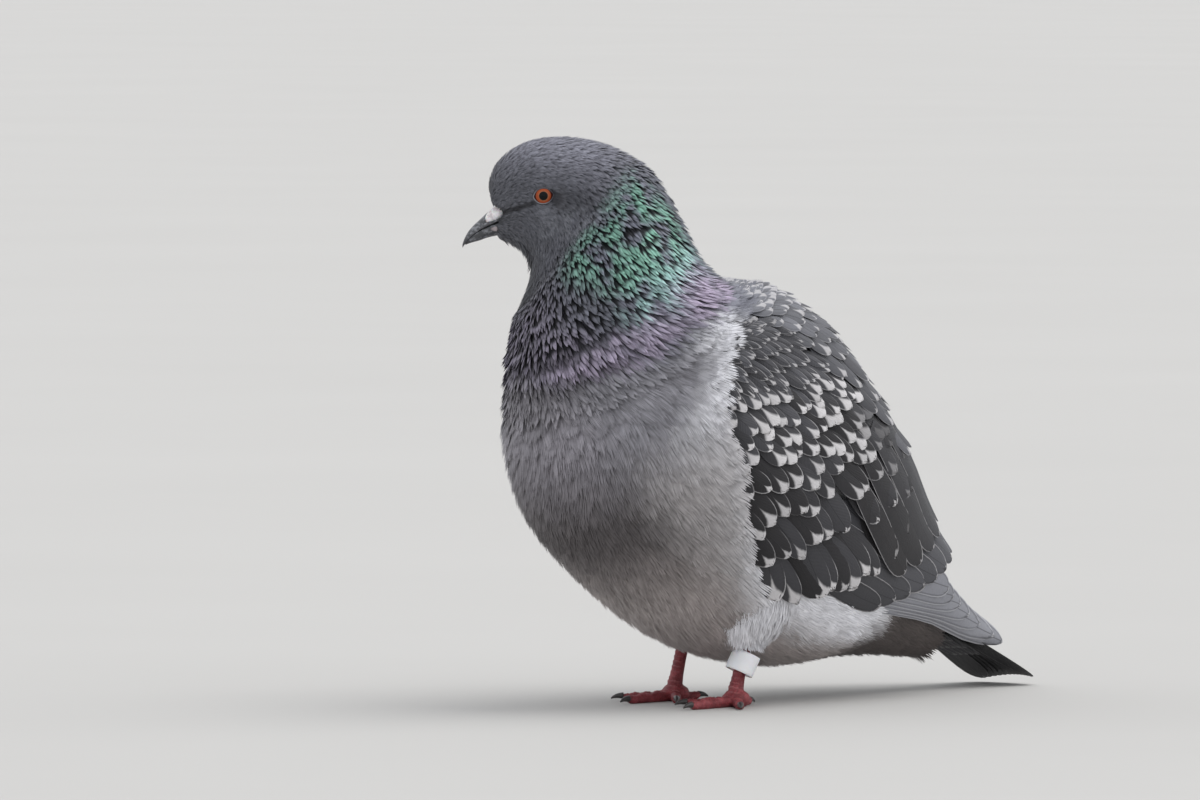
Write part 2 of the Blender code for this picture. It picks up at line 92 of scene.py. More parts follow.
class Finish:
    """A material. Sockets that are the same all over are set when it is made."""

    def __init__(self, name, **even):
        self.material = bpy.data.materials.new(name)
        self.material.use_nodes = True
        self.tree = self.material.node_tree
        self.shader = self.tree.nodes["Principled BSDF"]
        for socket, value in even.items():
            self.feed(self.shader.inputs[socket.replace("_", " ")], value)

    def feed(self, socket, value):
        if isinstance(value, Wire):
            self.tree.links.new(value.socket, socket)
        elif socket.type == "RGBA":
            socket.default_value = (*value, 1.0)
        else:
            socket.default_value = value

    def add(self, kind, settings, sockets, output=0):
        node = self.tree.nodes.new(kind)
        for key, value in settings.items():
            setattr(node, key, value)
        pairs = sockets.items() if isinstance(sockets, dict) else enumerate(sockets)
        for key, value in pairs:
            self.feed(node.inputs[key], value)
        return Wire(self, node.outputs[output])

    def reads(self, attribute):
        return self.add("ShaderNodeAttribute", {"attribute_name": attribute}, {}, "Fac")

    def place(self):
        return self.add("ShaderNodeTexCoord", {}, {}, "Object")

    def noise(self, scale, detail=2.0):
        sockets = {"Vector": self.place(), "Scale": scale, "Detail": detail}
        return self.add("ShaderNodeTexNoise", {}, sockets)

    def cells(self, scale, feature="F1"):
        sockets = {"Vector": self.place(), "Scale": scale}
        return self.add("ShaderNodeTexVoronoi", {"feature": feature}, sockets, "Distance")

    def rise(self, value, low, high):
        """0 below low and 1 above high, with a soft step between."""
        sockets = {"Value": value, "From Min": low, "From Max": high}
        return self.add("ShaderNodeMapRange", {"interpolation_type": "SMOOTHSTEP"}, sockets)

    def band(self, value, first, full, last, gone):
        """0 before first and after gone, 1 from full to last."""
        return self.rise(value, first, full) * (1 - self.rise(value, last, gone))

    def streak(self, away, thin, wide):
        """1 where a distance is below thin on either side, and 0 past wide."""
        return 1 - self.rise(away.size(), thin, wide)

    def blend(self, share, first, second):
        return self.add("ShaderNodeMix", {"data_type": "RGBA"}, {0: share, 6: first, 7: second}, 2)

    def scaled(self, colour, share):
        return self.add("ShaderNodeVectorMath", {"operation": "SCALE"}, {0: colour, "Scale": share})

    def bump(self, height, strength, distance):
        sockets = {"Height": height, "Strength": strength, "Distance": distance}
        return self.add("ShaderNodeBump", {}, sockets, "Normal")

    def shows(self, **sockets):
        for socket, value in sockets.items():
            self.feed(self.shader.inputs[socket.replace("_", " ")], value)
        return self.material


FLOOR_REACH = 60.0  # metres to each side
floor_corners = [(x * FLOOR_REACH, y * FLOOR_REACH, 0) for x, y in ((-1, -1), (1, -1), (1, 1), (-1, 1))]
floor_mesh = bpy.data.meshes.new("floor")
floor_mesh.from_pydata(floor_corners, [], [(0, 1, 2, 3)])
floor = bpy.data.objects.new("floor", floor_mesh)
bpy.context.scene.collection.objects.link(floor)
floor_finish = Finish("pale_floor", Roughness=0.9, Specular_IOR_Level=0.2)
cloud = floor_finish.noise(3.0, 4.0)
floor_tone = floor_finish.blend(cloud, (0.5, 0.49, 0.475), (0.53, 0.52, 0.505))
floor_mesh.materials.append(floor_finish.shows(Base_Color=floor_tone))

world = bpy.data.worlds.new("soft_room")
world.use_nodes = True
world.node_tree.nodes["Background"].inputs["Color"].default_value = (0.95, 0.97, 1.0, 1.0)
world.node_tree.nodes["Background"].inputs["Strength"].default_value = 1.0
bpy.context.scene.world = world
bpy.context.scene.view_settings.view_transform = "Standard"

lamp = bpy.data.lights.new("top_softbox", "SUN")  # wide as a whole ceiling, so its shadows are soft
lamp.angle = 1.0
lamp.energy = 1.25
lamp.color = (1.0, 0.985, 0.96)
held = bpy.data.objects.new("top_softbox", lamp)
held.rotation_euler = Vector((-0.35, -0.45, -1.0)).to_track_quat("-Z", "Y").to_euler()
bpy.context.scene.collection.objects.link(held)

left_foot = [(a + b) / 2 for a, b in zip(*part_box("leg_left_foot"))]
right_foot = [(a + b) / 2 for a, b in zip(*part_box("leg_right_foot"))]
stand = Vector(((left_foot[0] + right_foot[0]) / 2, left_foot[1], 0))  # between the feet, on the floor

VIEW_AZIMUTH, VIEW_HEIGHT = math.radians(45.0), math.radians(2.5)
VIEW_WIDTH = 0.4364  # what the view takes in across, in metres at the bird
AIM_LEFT, AIM_UP = 0.0356, 0.1105  # from between the feet to the middle of the view
LENS, SENSOR = 400.0, 36.0
to_camera = Vector((
    math.sin(VIEW_AZIMUTH) * math.cos(VIEW_HEIGHT),
    -math.cos(VIEW_AZIMUTH) * math.cos(VIEW_HEIGHT),
    math.sin(VIEW_HEIGHT),
))
view_right = Vector((math.cos(VIEW_AZIMUTH), math.sin(VIEW_AZIMUTH), 0))
view_up = to_camera.cross(view_right)
aim = stand - view_right * AIM_LEFT + view_up * AIM_UP
camera_data = bpy.data.cameras.new("camera")
camera_data.lens = LENS
camera_data.sensor_width = SENSOR
camera_data.clip_end = 200
camera = bpy.data.objects.new("camera", camera_data)
camera.location = aim + to_camera * (VIEW_WIDTH * LENS / SENSOR)
camera.rotation_mode = "QUATERNION"
camera.rotation_quaternion = (-to_camera).to_track_quat("-Z", "Y")
bpy.context.scene.collection.objects.link(camera)
bpy.context.scene.camera = camera


# ---- Skin ------------------------------------------------------------------------------------
# One soft skin over head, neck, trunk, rump and thighs, which the feathers are rooted in. It lies
# under their tips by the coat's depth, as a loft over the solids' stations joined with the thighs.

MM = 0.001
NECK_Y = -38.0  # the upright axis on which the neck turns, from the middle between the feet
HEAD_TURN = math.radians(45)
UP = np.array([0.0, 0.0, 1.0])
AHEAD = np.array([-math.sin(HEAD_TURN), -math.cos(HEAD_TURN), 0.0])
LEFT = np.array([math.cos(HEAD_TURN), -math.sin(HEAD_TURN), 0.0])

# The body's stations from bill to tail. Each gives the share of the head's turn, the back line and
# the belly line (forward and height of both), and the half width, in millimetres.
BODY = np.array([
    (1.0, 46.9, 182.6, 47.4, 173.4, 3.6),
    (1.0, 49.0, 189.4, 45.5, 170.2, 6.2),
    (1.0, 46.2, 197.4, 40.0, 167.6, 8.2),
    (1.0, 38.3, 204.0, 36.2, 165.0, 10.2),
    (1.0, 26.9, 207.0, 34.0, 160.0, 12.7),
    (1.0, 12.4, 206.2, 34.6, 154.2, 16.2),
    (1.0, -2.0, 200.8, 37.4, 147.0, 21.0),
    (0.9, -12.0, 191.8, 40.2, 139.6, 27.5),
    (0.7, -20.5, 177.0, 42.0, 130.0, 33.0),
    (0.45, -28.0, 162.0, 43.6, 119.0, 38.5),
    (0.2, -40.0, 154.0, 44.8, 107.0, 43.5),
    (0.0, -60.0, 152.5, 45.2, 90.5, 47.5),
    (0.0, -84.0, 140.0, 33.3, 64.0, 51.0),
    (0.0, -104.0, 119.0, 3.0, 39.0, 52.5),
    (0.0, -122.0, 97.0, -31.0, 20.5, 49.0),
    (0.0, -136.5, 77.0, -70.0, 12.5, 39.0),
    (0.0, -145.0, 58.0, -103.0, 14.5, 28.0),
    (0.0, -153.0, 43.0, -131.0, 13.8, 18.5),
    (0.0, -162.0, 32.0, -153.0, 12.0, 11.5),
])
WING_TAIL = np.array([
    (0.0, -148.5, 60.5, -107.0, 14.0, 32.0),
    (0.0, -159.5, 48.5, -134.0, 15.5, 25.5),
    (0.0, -172.5, 36.0, -161.0, 13.0, 18.5),
    (0.0, -189.5, 23.5, -187.5, 11.0, 11.0),
])
WING = np.concatenate([BODY[:16], WING_TAIL])
COAT_DEPTH = ((0, 0.5), (4, 0.9), (6, 1.6), (8, 2.6), (10, 3.2), (18, 3.0))  # by station
WING_EDGE = ((10.1, 26, 64), (10.5, 19, 83), (11.3, 12, 102), (12, 11, 107), (12.9, 9, 124),
             (13.5, 8, 131), (14.1, 8, 118), (15.2, 8, 108))  # station, upper and lower edge in degrees


def row_at(rows, at):
    """The rows at stations on a Catmull-Rom curve, run on straight past the last."""
    last = len(rows) - 1
    past = np.maximum(at - last, 0.0)[..., None]
    at = np.clip(at, 0.0, last)
    i = np.minimum(at.astype(int), last - 1)
    f = (at - i)[..., None]
    a, b, c, d = (rows[np.clip(i + k, 0, last)] for k in (-1, 0, 1, 2))
    bend, twist = 2 * a - 5 * b + 4 * c - d, 3 * b - a - 3 * c + d
    curve = 0.5 * (2 * b + (c - a) * f + bend * f * f + twist * f**3)
    step = rows[last] - rows[last - 1]
    if rows.shape[1] == 6:  # a body form runs on without closing up
        step = np.array([0, (step[1] + step[3]) / 2, (step[2] + step[4]) / 2] * 2)[[0, 1, 2, 1, 2, 0]]
    return curve + past * step


def form_point(rows, at, angle):
    """Points of a lofted form in millimetres: angle runs from the back line over the left side."""
    turn, back_f, back_h, belly_f, belly_h, wide = np.moveaxis(row_at(rows, at), -1, 0)
    heading = HEAD_TURN * turn
    none = np.zeros_like(heading)
    ahead = np.stack([-np.sin(heading), -np.cos(heading), none], -1)
    left = np.stack([np.cos(heading), -np.sin(heading), none], -1)
    axis = np.array([0.0, NECK_Y, 0.0])
    back = axis + ahead * back_f[..., None] + UP * back_h[..., None]
    belly = axis + ahead * belly_f[..., None] + UP * belly_h[..., None]
    a = np.radians(angle)
    power = 2.0 + 0.45 * np.clip((at - 8) / 3, 0, 1) * (np.cos(a) > 0)  # squarer over the back
    full = (np.abs(np.cos(a)) ** power + np.abs(np.sin(a)) ** power) ** (-1 / power)
    out = (back - belly) / 2 * np.cos(a)[..., None] + left * (wide * np.sin(a))[..., None]
    return (back + belly) / 2 + out * full[..., None]


SMALL_STEP, SMALL_TURN = 0.03, 0.7  # of a station, and in degrees


def form_frame(rows, at, angle):
    """Change of the point for one station and for one degree, and the outward normal."""
    along = form_point(rows, at + SMALL_STEP, angle) - form_point(rows, at - SMALL_STEP, angle)
    over = form_point(rows, at, angle + SMALL_TURN) - form_point(rows, at, angle - SMALL_TURN)
    by_station, by_degree = along / (2 * SMALL_STEP), over / (2 * SMALL_TURN)
    normal = np.cross(by_degree, by_station)
    normal /= np.linalg.norm(normal, axis=-1, keepdims=True) + 1e-12
    return by_station, by_degree, normal


def placed(points):
    """Millimetres from the middle between the feet, as metres in the frame."""
    return (np.asarray(points, float) + np.array([0, stand.y / MM, 0])) * MM


def by_rows(table, at, column=1):
    keys = [row[0] for row in table]
    return np.interp(at, keys, [row[column] for row in table])


def in_wing(at, angle, inset=0.0):
    upper, lower = by_rows(WING_EDGE, at, 1), by_rows(WING_EDGE, at, 2)
    side = np.abs(angle)
    return (at > 10.1) & (side > upper + inset) & (side < lower - inset)


def mark(mesh, key, values):
    """Writes one number for each vertex, which the materials read by its key."""
    layer = mesh.attributes.new(key, "FLOAT", "POINT")
    layer.data.foreach_set("value", np.ascontiguousarray(values, np.float32).ravel())


def take(items, key, kind, each=1):
    """One property of all vertices, corners or faces of a mesh, as an array."""
    values = np.empty(len(items) * each, kind)
    items.foreach_get(key, values)
    return values if each == 1 else values.reshape(-1, each)


def build_mesh(name, points, faces, attributes=None):
    """A mesh from arrays: faces is a list of (count, corners) index arrays, attributes are by vertex."""
    mesh = bpy.data.meshes.new(name)
    mesh.vertices.add(len(points))
    mesh.vertices.foreach_set("co", np.ascontiguousarray(points, np.float32).ravel())
    sizes = np.concatenate([np.full(len(f), f.shape[1]) for f in faces])
    corners = np.concatenate([f.ravel() for f in faces]).astype(np.int32)
    mesh.loops.add(len(corners))
    mesh.loops.foreach_set("vertex_index", corners)
    mesh.polygons.add(len(sizes))
    mesh.polygons.foreach_set("loop_start", np.concatenate([[0], np.cumsum(sizes)[:-1]]).astype(np.int32))
    mesh.update(calc_edges=True)
    for key, values in (attributes or {}).items():
        mark(mesh, key, values)
    mesh.validate()
    mesh.shade_smooth()
    return mesh


def add_piece(name, mesh, finish=None):
    piece = bpy.data.objects.new(name, mesh)
    bpy.context.scene.collection.objects.link(piece)
    if finish:
        mesh.materials.append(finish)
    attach(piece, "root")
    return piece


def tube_quads(rings, around):
    r, k = np.meshgrid(np.arange(rings - 1), np.arange(around), indexing="ij")
    n = (k + 1) % around
    row, after = r * around, (r + 1) * around
    return np.stack([row + k, row + n, after + n, after + k], -1).reshape(-1, 4)


def tube_mesh(name, points, rings, around, attributes=None):
    """A closed tube: rings of points, a fan on each end."""
    middles = points.reshape(rings, around, 3)[[0, -1]].mean(1)
    first, last = len(points), len(points) + 1
    k = np.arange(around)
    n, end = (k + 1) % around, (rings - 1) * around
    caps = np.concatenate([
        np.stack([n, k, np.full(around, first)], -1),
        np.stack([end + k, end + n, np.full(around, last)], -1),
    ])
    more = {
        key: np.concatenate([values, values.reshape(rings, around)[[0, -1]].mean(1)])
        for key, values in (attributes or {}).items()
    }
    return build_mesh(name, np.concatenate([points, middles]), [tube_quads(rings, around), caps], more)


def nearest_known(known, mesh):
    """For each vertex of a mesh, the number of the nearest of the known points."""
    tree = kdtree.KDTree(len(known))
    for i, spot in enumerate(known):
        tree.insert(spot, i)
    tree.balance()
    return np.array([tree.find(v.co)[1] for v in mesh.vertices])


def one_skin(piece, voxel, rounds):
    """Joins a piece's closed parts in one skin with faces a voxel wide, and relaxes it."""
    joint = piece.modifiers.new("one_skin", "REMESH")
    joint.mode = "VOXEL"
    joint.voxel_size = voxel
    relax = piece.modifiers.new("relax", "SMOOTH")
    relax.factor = 0.5
    relax.iterations = rounds
    graph = bpy.context.evaluated_depsgraph_get()
    mesh = bpy.data.meshes.new_from_object(piece.evaluated_get(graph))
    piece.modifiers.clear()
    piece.data = mesh
    mesh.name = piece.name
    mesh.shade_smooth()
    return mesh


def bake_place(at, angle):
    """Where a station and an angle lie on the unwrap that skin and feathers share."""
    return np.stack([(angle + 200) / 400, at / 19 * 0.96 + 0.02], -1)


def bake_map(mesh, corner_uv):
    layer = mesh.uv_layers.new(name="OFBake")
    layer.data.foreach_set("uv", corner_uv.astype(np.float32).ravel())


# Where the feathers end towards the bill, on the turned head: height, furthest forward
BILL_MARGIN = ((164, 52.0), (170.4, 50.5), (171.6, 47.5), (173.5, 44.6), (177.0, 42.6), (179.2, 40.4),
               (180.8, 43.0), (182.4, 46.6), (183.4, 50.0), (186, 60.0))


def head_place(points):
    """How far forward, to the left and up points lie in the turned head's own directions."""
    p = points - np.array([0.0, NECK_Y, 0.0])
    return p @ AHEAD, p @ LEFT, p[..., 2]


def past_margin(points):
    """How far points lie in front of the feathers' edge at the bill, in millimetres."""
    forward, side, height = head_place(points)
    past = forward - by_rows(BILL_MARGIN, height) - np.clip(2 * np.abs(side) - 7.6, 0, 2)
    return np.where(forward > 36, past, -9.0)


EYE_AT, EYE_SIDE, EYE_RADIUS = (29.1, 185.9), 8.8, 4.7  # middle as forward and height, side, radius
SOCKET_FLAT, SOCKET_RIM = 4.0, 5.0  # flat part round the eye, and the slope outside it
CHEEK_HEIGHT = 172  # below this the head keeps its form


def socket(points, flush):
    """Draws points near an eye in towards the plane of its lids, flush millimetres from the middle."""
    forward, side, height = head_place(points)
    away = np.hypot(forward - EYE_AT[0], height - EYE_AT[1])
    slope = np.clip((away - SOCKET_FLAT) / SOCKET_RIM, 0, 1)
    near = 1 - slope**2 * (3 - 2 * slope)
    inward = np.clip(np.abs(side) - flush, 0, None) * 0.75 * near * (height > CHEEK_HEIGHT)
    return points - LEFT * (np.sign(side) * inward)[..., None]


SKIN_RINGS, SKIN_AROUND = 150, 96
SKIN_VOXEL = 0.0014
UNDER_WING, AT_BILL = 3.2, 3.4  # how much deeper the skin lies there, in millimetres
THIGH_DEPTH = 0.0022
SKIN_FLUSH = 11.2  # from the head's middle to the skin beside an eye
skin_at, skin_angle = np.meshgrid(
    np.linspace(0.0, 18.0, SKIN_RINGS), np.arange(SKIN_AROUND) * 360 / SKIN_AROUND, indexing="ij"
)
skin_at, skin_angle = skin_at.ravel(), skin_angle.ravel()
signed = (skin_angle + 180) % 360 - 180
sunk = by_rows(COAT_DEPTH, skin_at)
sunk = sunk + UNDER_WING * in_wing(skin_at, signed, 2.0)
skin_points = form_point(BODY, skin_at, skin_angle)
sunk = sunk + AT_BILL * np.clip((past_margin(skin_points) + 1.0) / 1.5, 0, 1)
skin_points -= form_frame(BODY, skin_at, skin_angle)[2] * sunk[:, None]
skin_points = socket(skin_points, SKIN_FLUSH)
skin_mesh = tube_mesh("skin", placed(skin_points), SKIN_RINGS, SKIN_AROUND)
skin = add_piece("skin", skin_mesh)

made = bmesh.new()
made.from_mesh(skin_mesh)
bmesh.ops.recalc_face_normals(made, faces=made.faces)
for side in ("left", "right"):
    thigh = bmesh.new()
    thigh.from_mesh(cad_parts[f"leg_{side}_thigh"].data)
    bmesh.ops.remove_doubles(thigh, verts=thigh.verts, dist=1e-6)
    bmesh.ops.recalc_face_normals(thigh, faces=thigh.faces)
    thigh.normal_update()
    for v in thigh.verts:
        v.co -= v.normal * THIGH_DEPTH
    spare = bpy.data.meshes.new("thigh_part")
    thigh.to_mesh(spare)
    thigh.free()
    made.from_mesh(spare)
made.to_mesh(skin_mesh)
made.free()

whole = one_skin(skin, SKIN_VOXEL, 6)

# Each vertex gets the station and the angle of the nearest point of the body's form.
lie_at, lie_angle = np.meshgrid(np.linspace(0, 18, 240), np.linspace(-180, 177, 120), indexing="ij")
lie_at, lie_angle = lie_at.ravel(), lie_angle.ravel()
nearest = nearest_known(placed(form_point(BODY, lie_at, lie_angle)), whole)
lie_at, lie_angle = lie_at[nearest], lie_angle[nearest]
mark(whole, "station", lie_at)
mark(whole, "angle", np.abs(lie_angle))

corner_vertex = take(whole.loops, "vertex_index", np.int32)
corner_angle = lie_angle[corner_vertex]
face_first = take(whole.polygons, "loop_start", np.int32)
lead = np.repeat(corner_angle[face_first], take(whole.polygons, "loop_total", np.int32))
corner_angle = corner_angle - 360 * np.round((corner_angle - lead) / 360)  # no face spans the seam
bake_map(whole, bake_place(lie_at[corner_vertex], corner_angle))


def in_head(finish):
    """Forward and height in millimetres in the turned head's own directions."""
    place = finish.place()
    pair = []
    for way in (AHEAD, UP):
        start = float(placed([0.0, NECK_Y, 0.0]) @ way)
        sockets = {0: place, 1: tuple(way)}
        along = finish.add("ShaderNodeVectorMath", {"operation": "DOT_PRODUCT"}, sockets, "Value")
        pair.append((along - start) / MM)
    return pair


FOLD_PITCH = 7.6  # the fluffed neck lies in shallow folds, this many radians to a station


def plumage(finish):
    """Colour of the plumage, and where the neck is green and mauve, from its lie: the station from
    bill to tail, and the side in degrees from the back line (0) to the belly line (180). The colour
    holds painted shade in the neck's folds, under its last hackles and under the breast, and
    painted light on the belly."""
    station, side = finish.reads("station"), finish.reads("angle")
    forward, height = in_head(finish)
    crown = finish.blend(finish.rise(side, 25, 80), (0.3, 0.3, 0.355), (0.115, 0.118, 0.138))
    crown = finish.blend(finish.rise(station, 4.3, 5.6) * 0.4, crown, (0.1, 0.1, 0.125))
    head = finish.blend(finish.rise(side, 112, 160), crown, (0.105, 0.108, 0.122))
    face = finish.blend(finish.rise(station, 0.8, 3.6), (0.12, 0.122, 0.14), head)
    lore = finish.streak(height - (193.2 - 0.305 * forward), 0.3, 1.5)  # the line from bill to eye
    lore = lore * finish.band(forward, 30, 33, 42, 46)
    tear = finish.streak(height - (182.2 + 0.2 * forward), 0.2, 1.1)  # and on behind the eye
    tear = tear * finish.band(forward, 14, 22, 26, 28)
    ear = finish.streak(height - 184.0, 1.5, 7.0) * finish.band(forward, 5, 14, 23, 29)
    cheek = finish.streak(height - 176.0, 2.0, 9.0) * finish.band(forward, 3, 12, 27, 36)
    cheek = cheek * finish.rise(finish.noise(300.0, 2.0), 0.3, 0.65)
    face = finish.blend(cheek, face, (0.175, 0.18, 0.205))
    face = finish.blend((lore * 0.9).or_more(tear * 0.5).or_more(ear * 0.45), face, (0.02, 0.02, 0.024))

    nape = finish.blend(finish.rise(side, 105, 145), (0.12, 0.125, 0.152), (0.19, 0.17, 0.222))
    neck = finish.blend(finish.rise(station, 5.4, 7.0), face, nape)
    green = finish.band(station, 5.6, 6.4, 8.3, 8.95) * finish.rise(side, 16, 40)
    green = green * (1 - finish.rise(side + 15 * finish.rise(station, 6.3, 7.5), 96, 121))
    drift = finish.noise(110.0, 2.0)
    teal = finish.blend(finish.rise(station, 7.5, 8.1), (0.19, 0.385, 0.305), (0.31, 0.51, 0.48))
    sheen = finish.blend(finish.rise(drift, 0.34, 0.55), (0.18, 0.19, 0.24), teal)
    neck = finish.blend(green * (0.55 + 0.45 * finish.rise(drift, 0.3, 0.5)), neck, sheen)
    mauve = finish.band(station, 8.0, 8.6, 9.2, 9.7) * finish.band(side, 24, 40, 60, 84)
    collar = finish.band(station, 8.2, 8.6, 9.0, 9.5)
    mauve = mauve.or_more(0.8 * collar * finish.band(side, 62, 88, 132, 160))
    throat = finish.band(station, 7.6, 8.1, 9.2, 9.8)
    mauve = mauve.or_more(0.35 * throat * finish.band(side, 106, 118, 138, 152))
    neck = finish.blend(mauve * (0.45 + 0.55 * finish.rise(drift, 0.35, 0.55)), neck, (0.41, 0.345, 0.46))
    # Painted shade darkens the valleys of the neck's shallow folds in front.
    folds = ((station + 0.5 * drift) * FOLD_PITCH).sine()  # dark in the folds of the neck's front
    fold = finish.rise(folds, 0.1, 0.95) * finish.band(station, 7.3, 7.9, 9.6, 10.1)
    neck = finish.blend(fold * finish.rise(side, 92, 120) * 0.6, neck, (0.03, 0.028, 0.034))

    front = finish.blend(finish.rise(side, 125, 165), (0.25, 0.245, 0.27), (0.265, 0.25, 0.275))
    # Under the breast the colour is darker with painted shade, and behind it the belly is lighter with
    # painted light thrown up from the floor.
    low = finish.blend(finish.rise(station, 11.9, 13.1), (0.092, 0.082, 0.083), (0.37, 0.33, 0.32))
    low = finish.blend(finish.rise(side, 126, 150), (0.36, 0.34, 0.34), low)
    breast = finish.blend(finish.rise(station, 10.6, 11.9), front, low)
    # A pale strip runs down the side of the breast, along the wing's front edge.
    wing_line = 62 + 38 * finish.rise(station, 9.8, 11.3) + 26 * finish.rise(station, 11.6, 13.6)
    pale = 1 - finish.rise(side - wing_line, -2, 36 - 14 * finish.rise(station, 11.0, 12.2))
    pale = pale * (1 - 0.62 * finish.band(station, 10.8, 11.4, 12.5, 13.3))
    breast = finish.blend(pale, breast, (0.86, 0.86, 0.9))

    back = finish.blend(finish.rise(station, 13.8, 15.0), (0.24, 0.243, 0.285), (0.45, 0.455, 0.5))
    body = finish.blend(1 - finish.rise(side, 50, 68), breast, back)
    vent = finish.rise(station, 15.0, 15.7) * finish.rise(side, 56, 84)  # sooty under the tail
    body = finish.blend(vent, body, (0.085, 0.07, 0.065))
    # The body's colours begin behind the neck's, a little higher on the breast than on the back.
    begins = station + 0.012 * (side - 100) * finish.rise(side, 85, 105)
    colour = finish.blend(finish.rise(begins, 9.1, 9.7), neck, body)
    # A painted shadow darkens the lower edge of the neck's last hackles, where they overhang the breast.
    hackle_edge_shadow = finish.band(station, 8.5, 8.9, 9.2, 9.55) * finish.rise(side, 112, 145)  # the last hackles
    colour = finish.blend(hackle_edge_shadow * 0.4, colour, (0.03, 0.027, 0.032))
    patchy = finish.noise(55.0, 3.0)
    colour = finish.blend(0.24 * patchy, colour, (0.05, 0.05, 0.055))
    return colour, green, mauve


skin_finish = Finish("skin_under_feathers", Specular_IOR_Level=0.2)
skin_colour, _, _ = plumage(skin_finish)
# The skin takes the plumage's colour darkened towards black: painted shade where it shows between the
# feathers.
skin_colour = skin_finish.blend(0.55, skin_colour, (0.02, 0.02, 0.024))
grain = skin_finish.noise(900.0, 3.0)
whole.materials.append(skin_finish.shows(
    Base_Color=skin_colour,
    Roughness=0.7 + 0.2 * grain,
    Normal=skin_finish.bump(grain, 0.4, 0.0004),
))
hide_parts("head", "neck", "trunk", "rump", "leg_left_thigh", "leg_right_thigh")


# ---- Bill and cere ---------------------------------------------------------------------------
# Two horn sheaths over the jaws, dark slate and glossy, the upper with a slightly hooked tip and a
# slit nostril. The cere sits on its root: two soft chalky swellings that meet over the ridge.

def head_point(forward, side, height):
    """Millimetres in the turned head's own directions."""
    forward, side, height = (np.asarray(x, float)[..., None] for x in (forward, side, height))
    return np.array([0.0, NECK_Y, 0.0]) + AHEAD * forward + LEFT * side + UP * height


# Forward, top height, bottom height, half width
UPPER_BILL = np.array([
    (40.0, 180.6, 178.0, 3.4), (43.5, 181.2, 176.7, 3.9), (46.5, 181.0, 175.4, 3.9),
    (49.5, 179.4, 174.1, 3.4), (52.0, 177.1, 172.9, 2.8), (54.2, 175.1, 171.4, 2.25),
    (56.2, 172.8, 169.6, 1.65), (57.6, 170.3, 167.9, 1.05), (58.4, 168.1, 166.8, 0.4),
])
LOWER_BILL = np.array([
    (40.0, 178.6, 172.2, 3.5), (43.5, 177.2, 171.6, 3.8), (46.5, 175.9, 171.1, 3.65),
    (49.5, 174.6, 170.4, 3.15), (52.0, 173.4, 169.5, 2.5), (54.2, 171.9, 168.9, 1.9),
    (56.2, 170.0, 168.3, 1.2), (57.3, 168.9, 167.8, 0.5),
])
SEAM_SHARE = 0.16  # of a sheath's height, from its cutting edge to its widest line
NOSTRIL_AT, NOSTRIL_SIZE, NOSTRIL_SLOPE = (48.8, 177.0), (2.1, 0.5), 0.62


def bill_mesh(name, rows, upper):
    """A sheath, widest near its cutting edge and drawn in below it, so a fine seam shows between both."""
    steps, around = 14, 56
    count = (len(rows) - 1) * steps + 1
    turns = np.arange(around) / around * 2 * np.pi
    at, turn = np.meshgrid(np.arange(count) / steps, turns, indexing="ij")
    forward, top, bottom, wide = np.moveaxis(row_at(rows, at), -1, 0)
    up, out = np.cos(turn), np.sin(turn)
    waist = bottom + (top - bottom) * (SEAM_SHARE if upper else 1 - SEAM_SHARE)
    height = np.where(up > 0, waist + (top - waist) * up, waist + (waist - bottom) * up)
    side = np.sign(out) * np.abs(out) ** 1.1 * wide
    line = np.clip(-up if upper else up, 0, 1)
    slope = NOSTRIL_SLOPE * (forward - NOSTRIL_AT[0])  # the slit runs down along the front of the cere
    off_f, off_h = forward - NOSTRIL_AT[0], height - NOSTRIL_AT[1] + slope
    groove = np.exp(-((off_f / NOSTRIL_SIZE[0]) ** 2) - ((off_h / NOSTRIL_SIZE[1]) ** 2))
    side = side * (1 - (0.2 * groove if upper else 0))
    points = head_point(forward, side, height).reshape(-1, 3)
    attributes = {"ahead": forward.ravel(), "nostril": groove.ravel(), "edge": line.ravel()}
    return tube_mesh(name, placed(points), count, around, attributes)


horn = Finish("bill_horn", Specular_IOR_Level=0.5, Coat_Roughness=0.25)
streaks = horn.noise(650.0, 5.0)
horn_ahead = horn.reads("ahead")
# The pale blue-grey streaks on the dark horn are painted highlights.
horn_colour = horn.blend(horn.rise(streaks, 0.46, 0.66), (0.05, 0.052, 0.058), (0.2, 0.205, 0.226))
horn_colour = horn.blend(horn.rise(horn_ahead, 55.5, 58.2), horn_colour, (0.025, 0.025, 0.028))
horn_colour = horn.blend(horn.rise(horn.reads("edge"), 0.2, 0.8), horn_colour, (0.012, 0.011, 0.012))
horn_colour = horn.blend(horn.rise(horn.reads("nostril"), 0.4, 0.8), horn_colour, (0.004, 0.004, 0.005))
# A pinkish painted reflection lies on the horn at the corner of the mouth.
GAPE_AT, GAPE_SIZE = (45.9, 173.7), (2.2, 0.9)  # a pinkish patch in the corner of the mouth
horn_forward, horn_height = in_head(horn)
off_f, off_h = (horn_forward - GAPE_AT[0]) / GAPE_SIZE[0], (horn_height - GAPE_AT[1]) / GAPE_SIZE[1]
gape_reflection = 1 - horn.rise(off_f * off_f + off_h * off_h, 0.3, 1.4)
horn_colour = horn.blend(gape_reflection * 0.7, horn_colour, (0.5, 0.42, 0.43))
flakes = horn.noise(1500.0, 3.0)
horn_paint = horn.shows(
    Base_Color=horn_colour,
    Roughness=0.32 + 0.2 * streaks,
    Coat_Weight=0.35 * (1 - 0.6 * flakes),
    Normal=horn.bump(flakes, 0.25, 0.0003),
)
for jaw, rows in (("upper", UPPER_BILL), ("lower", LOWER_BILL)):
    sheath_mesh = bill_mesh(f"bill_{jaw}_sheath", rows, jaw == "upper")
    sheath = add_piece(f"bill_{jaw}_sheath", sheath_mesh, horn_paint)
    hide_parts(f"bill_{jaw}")

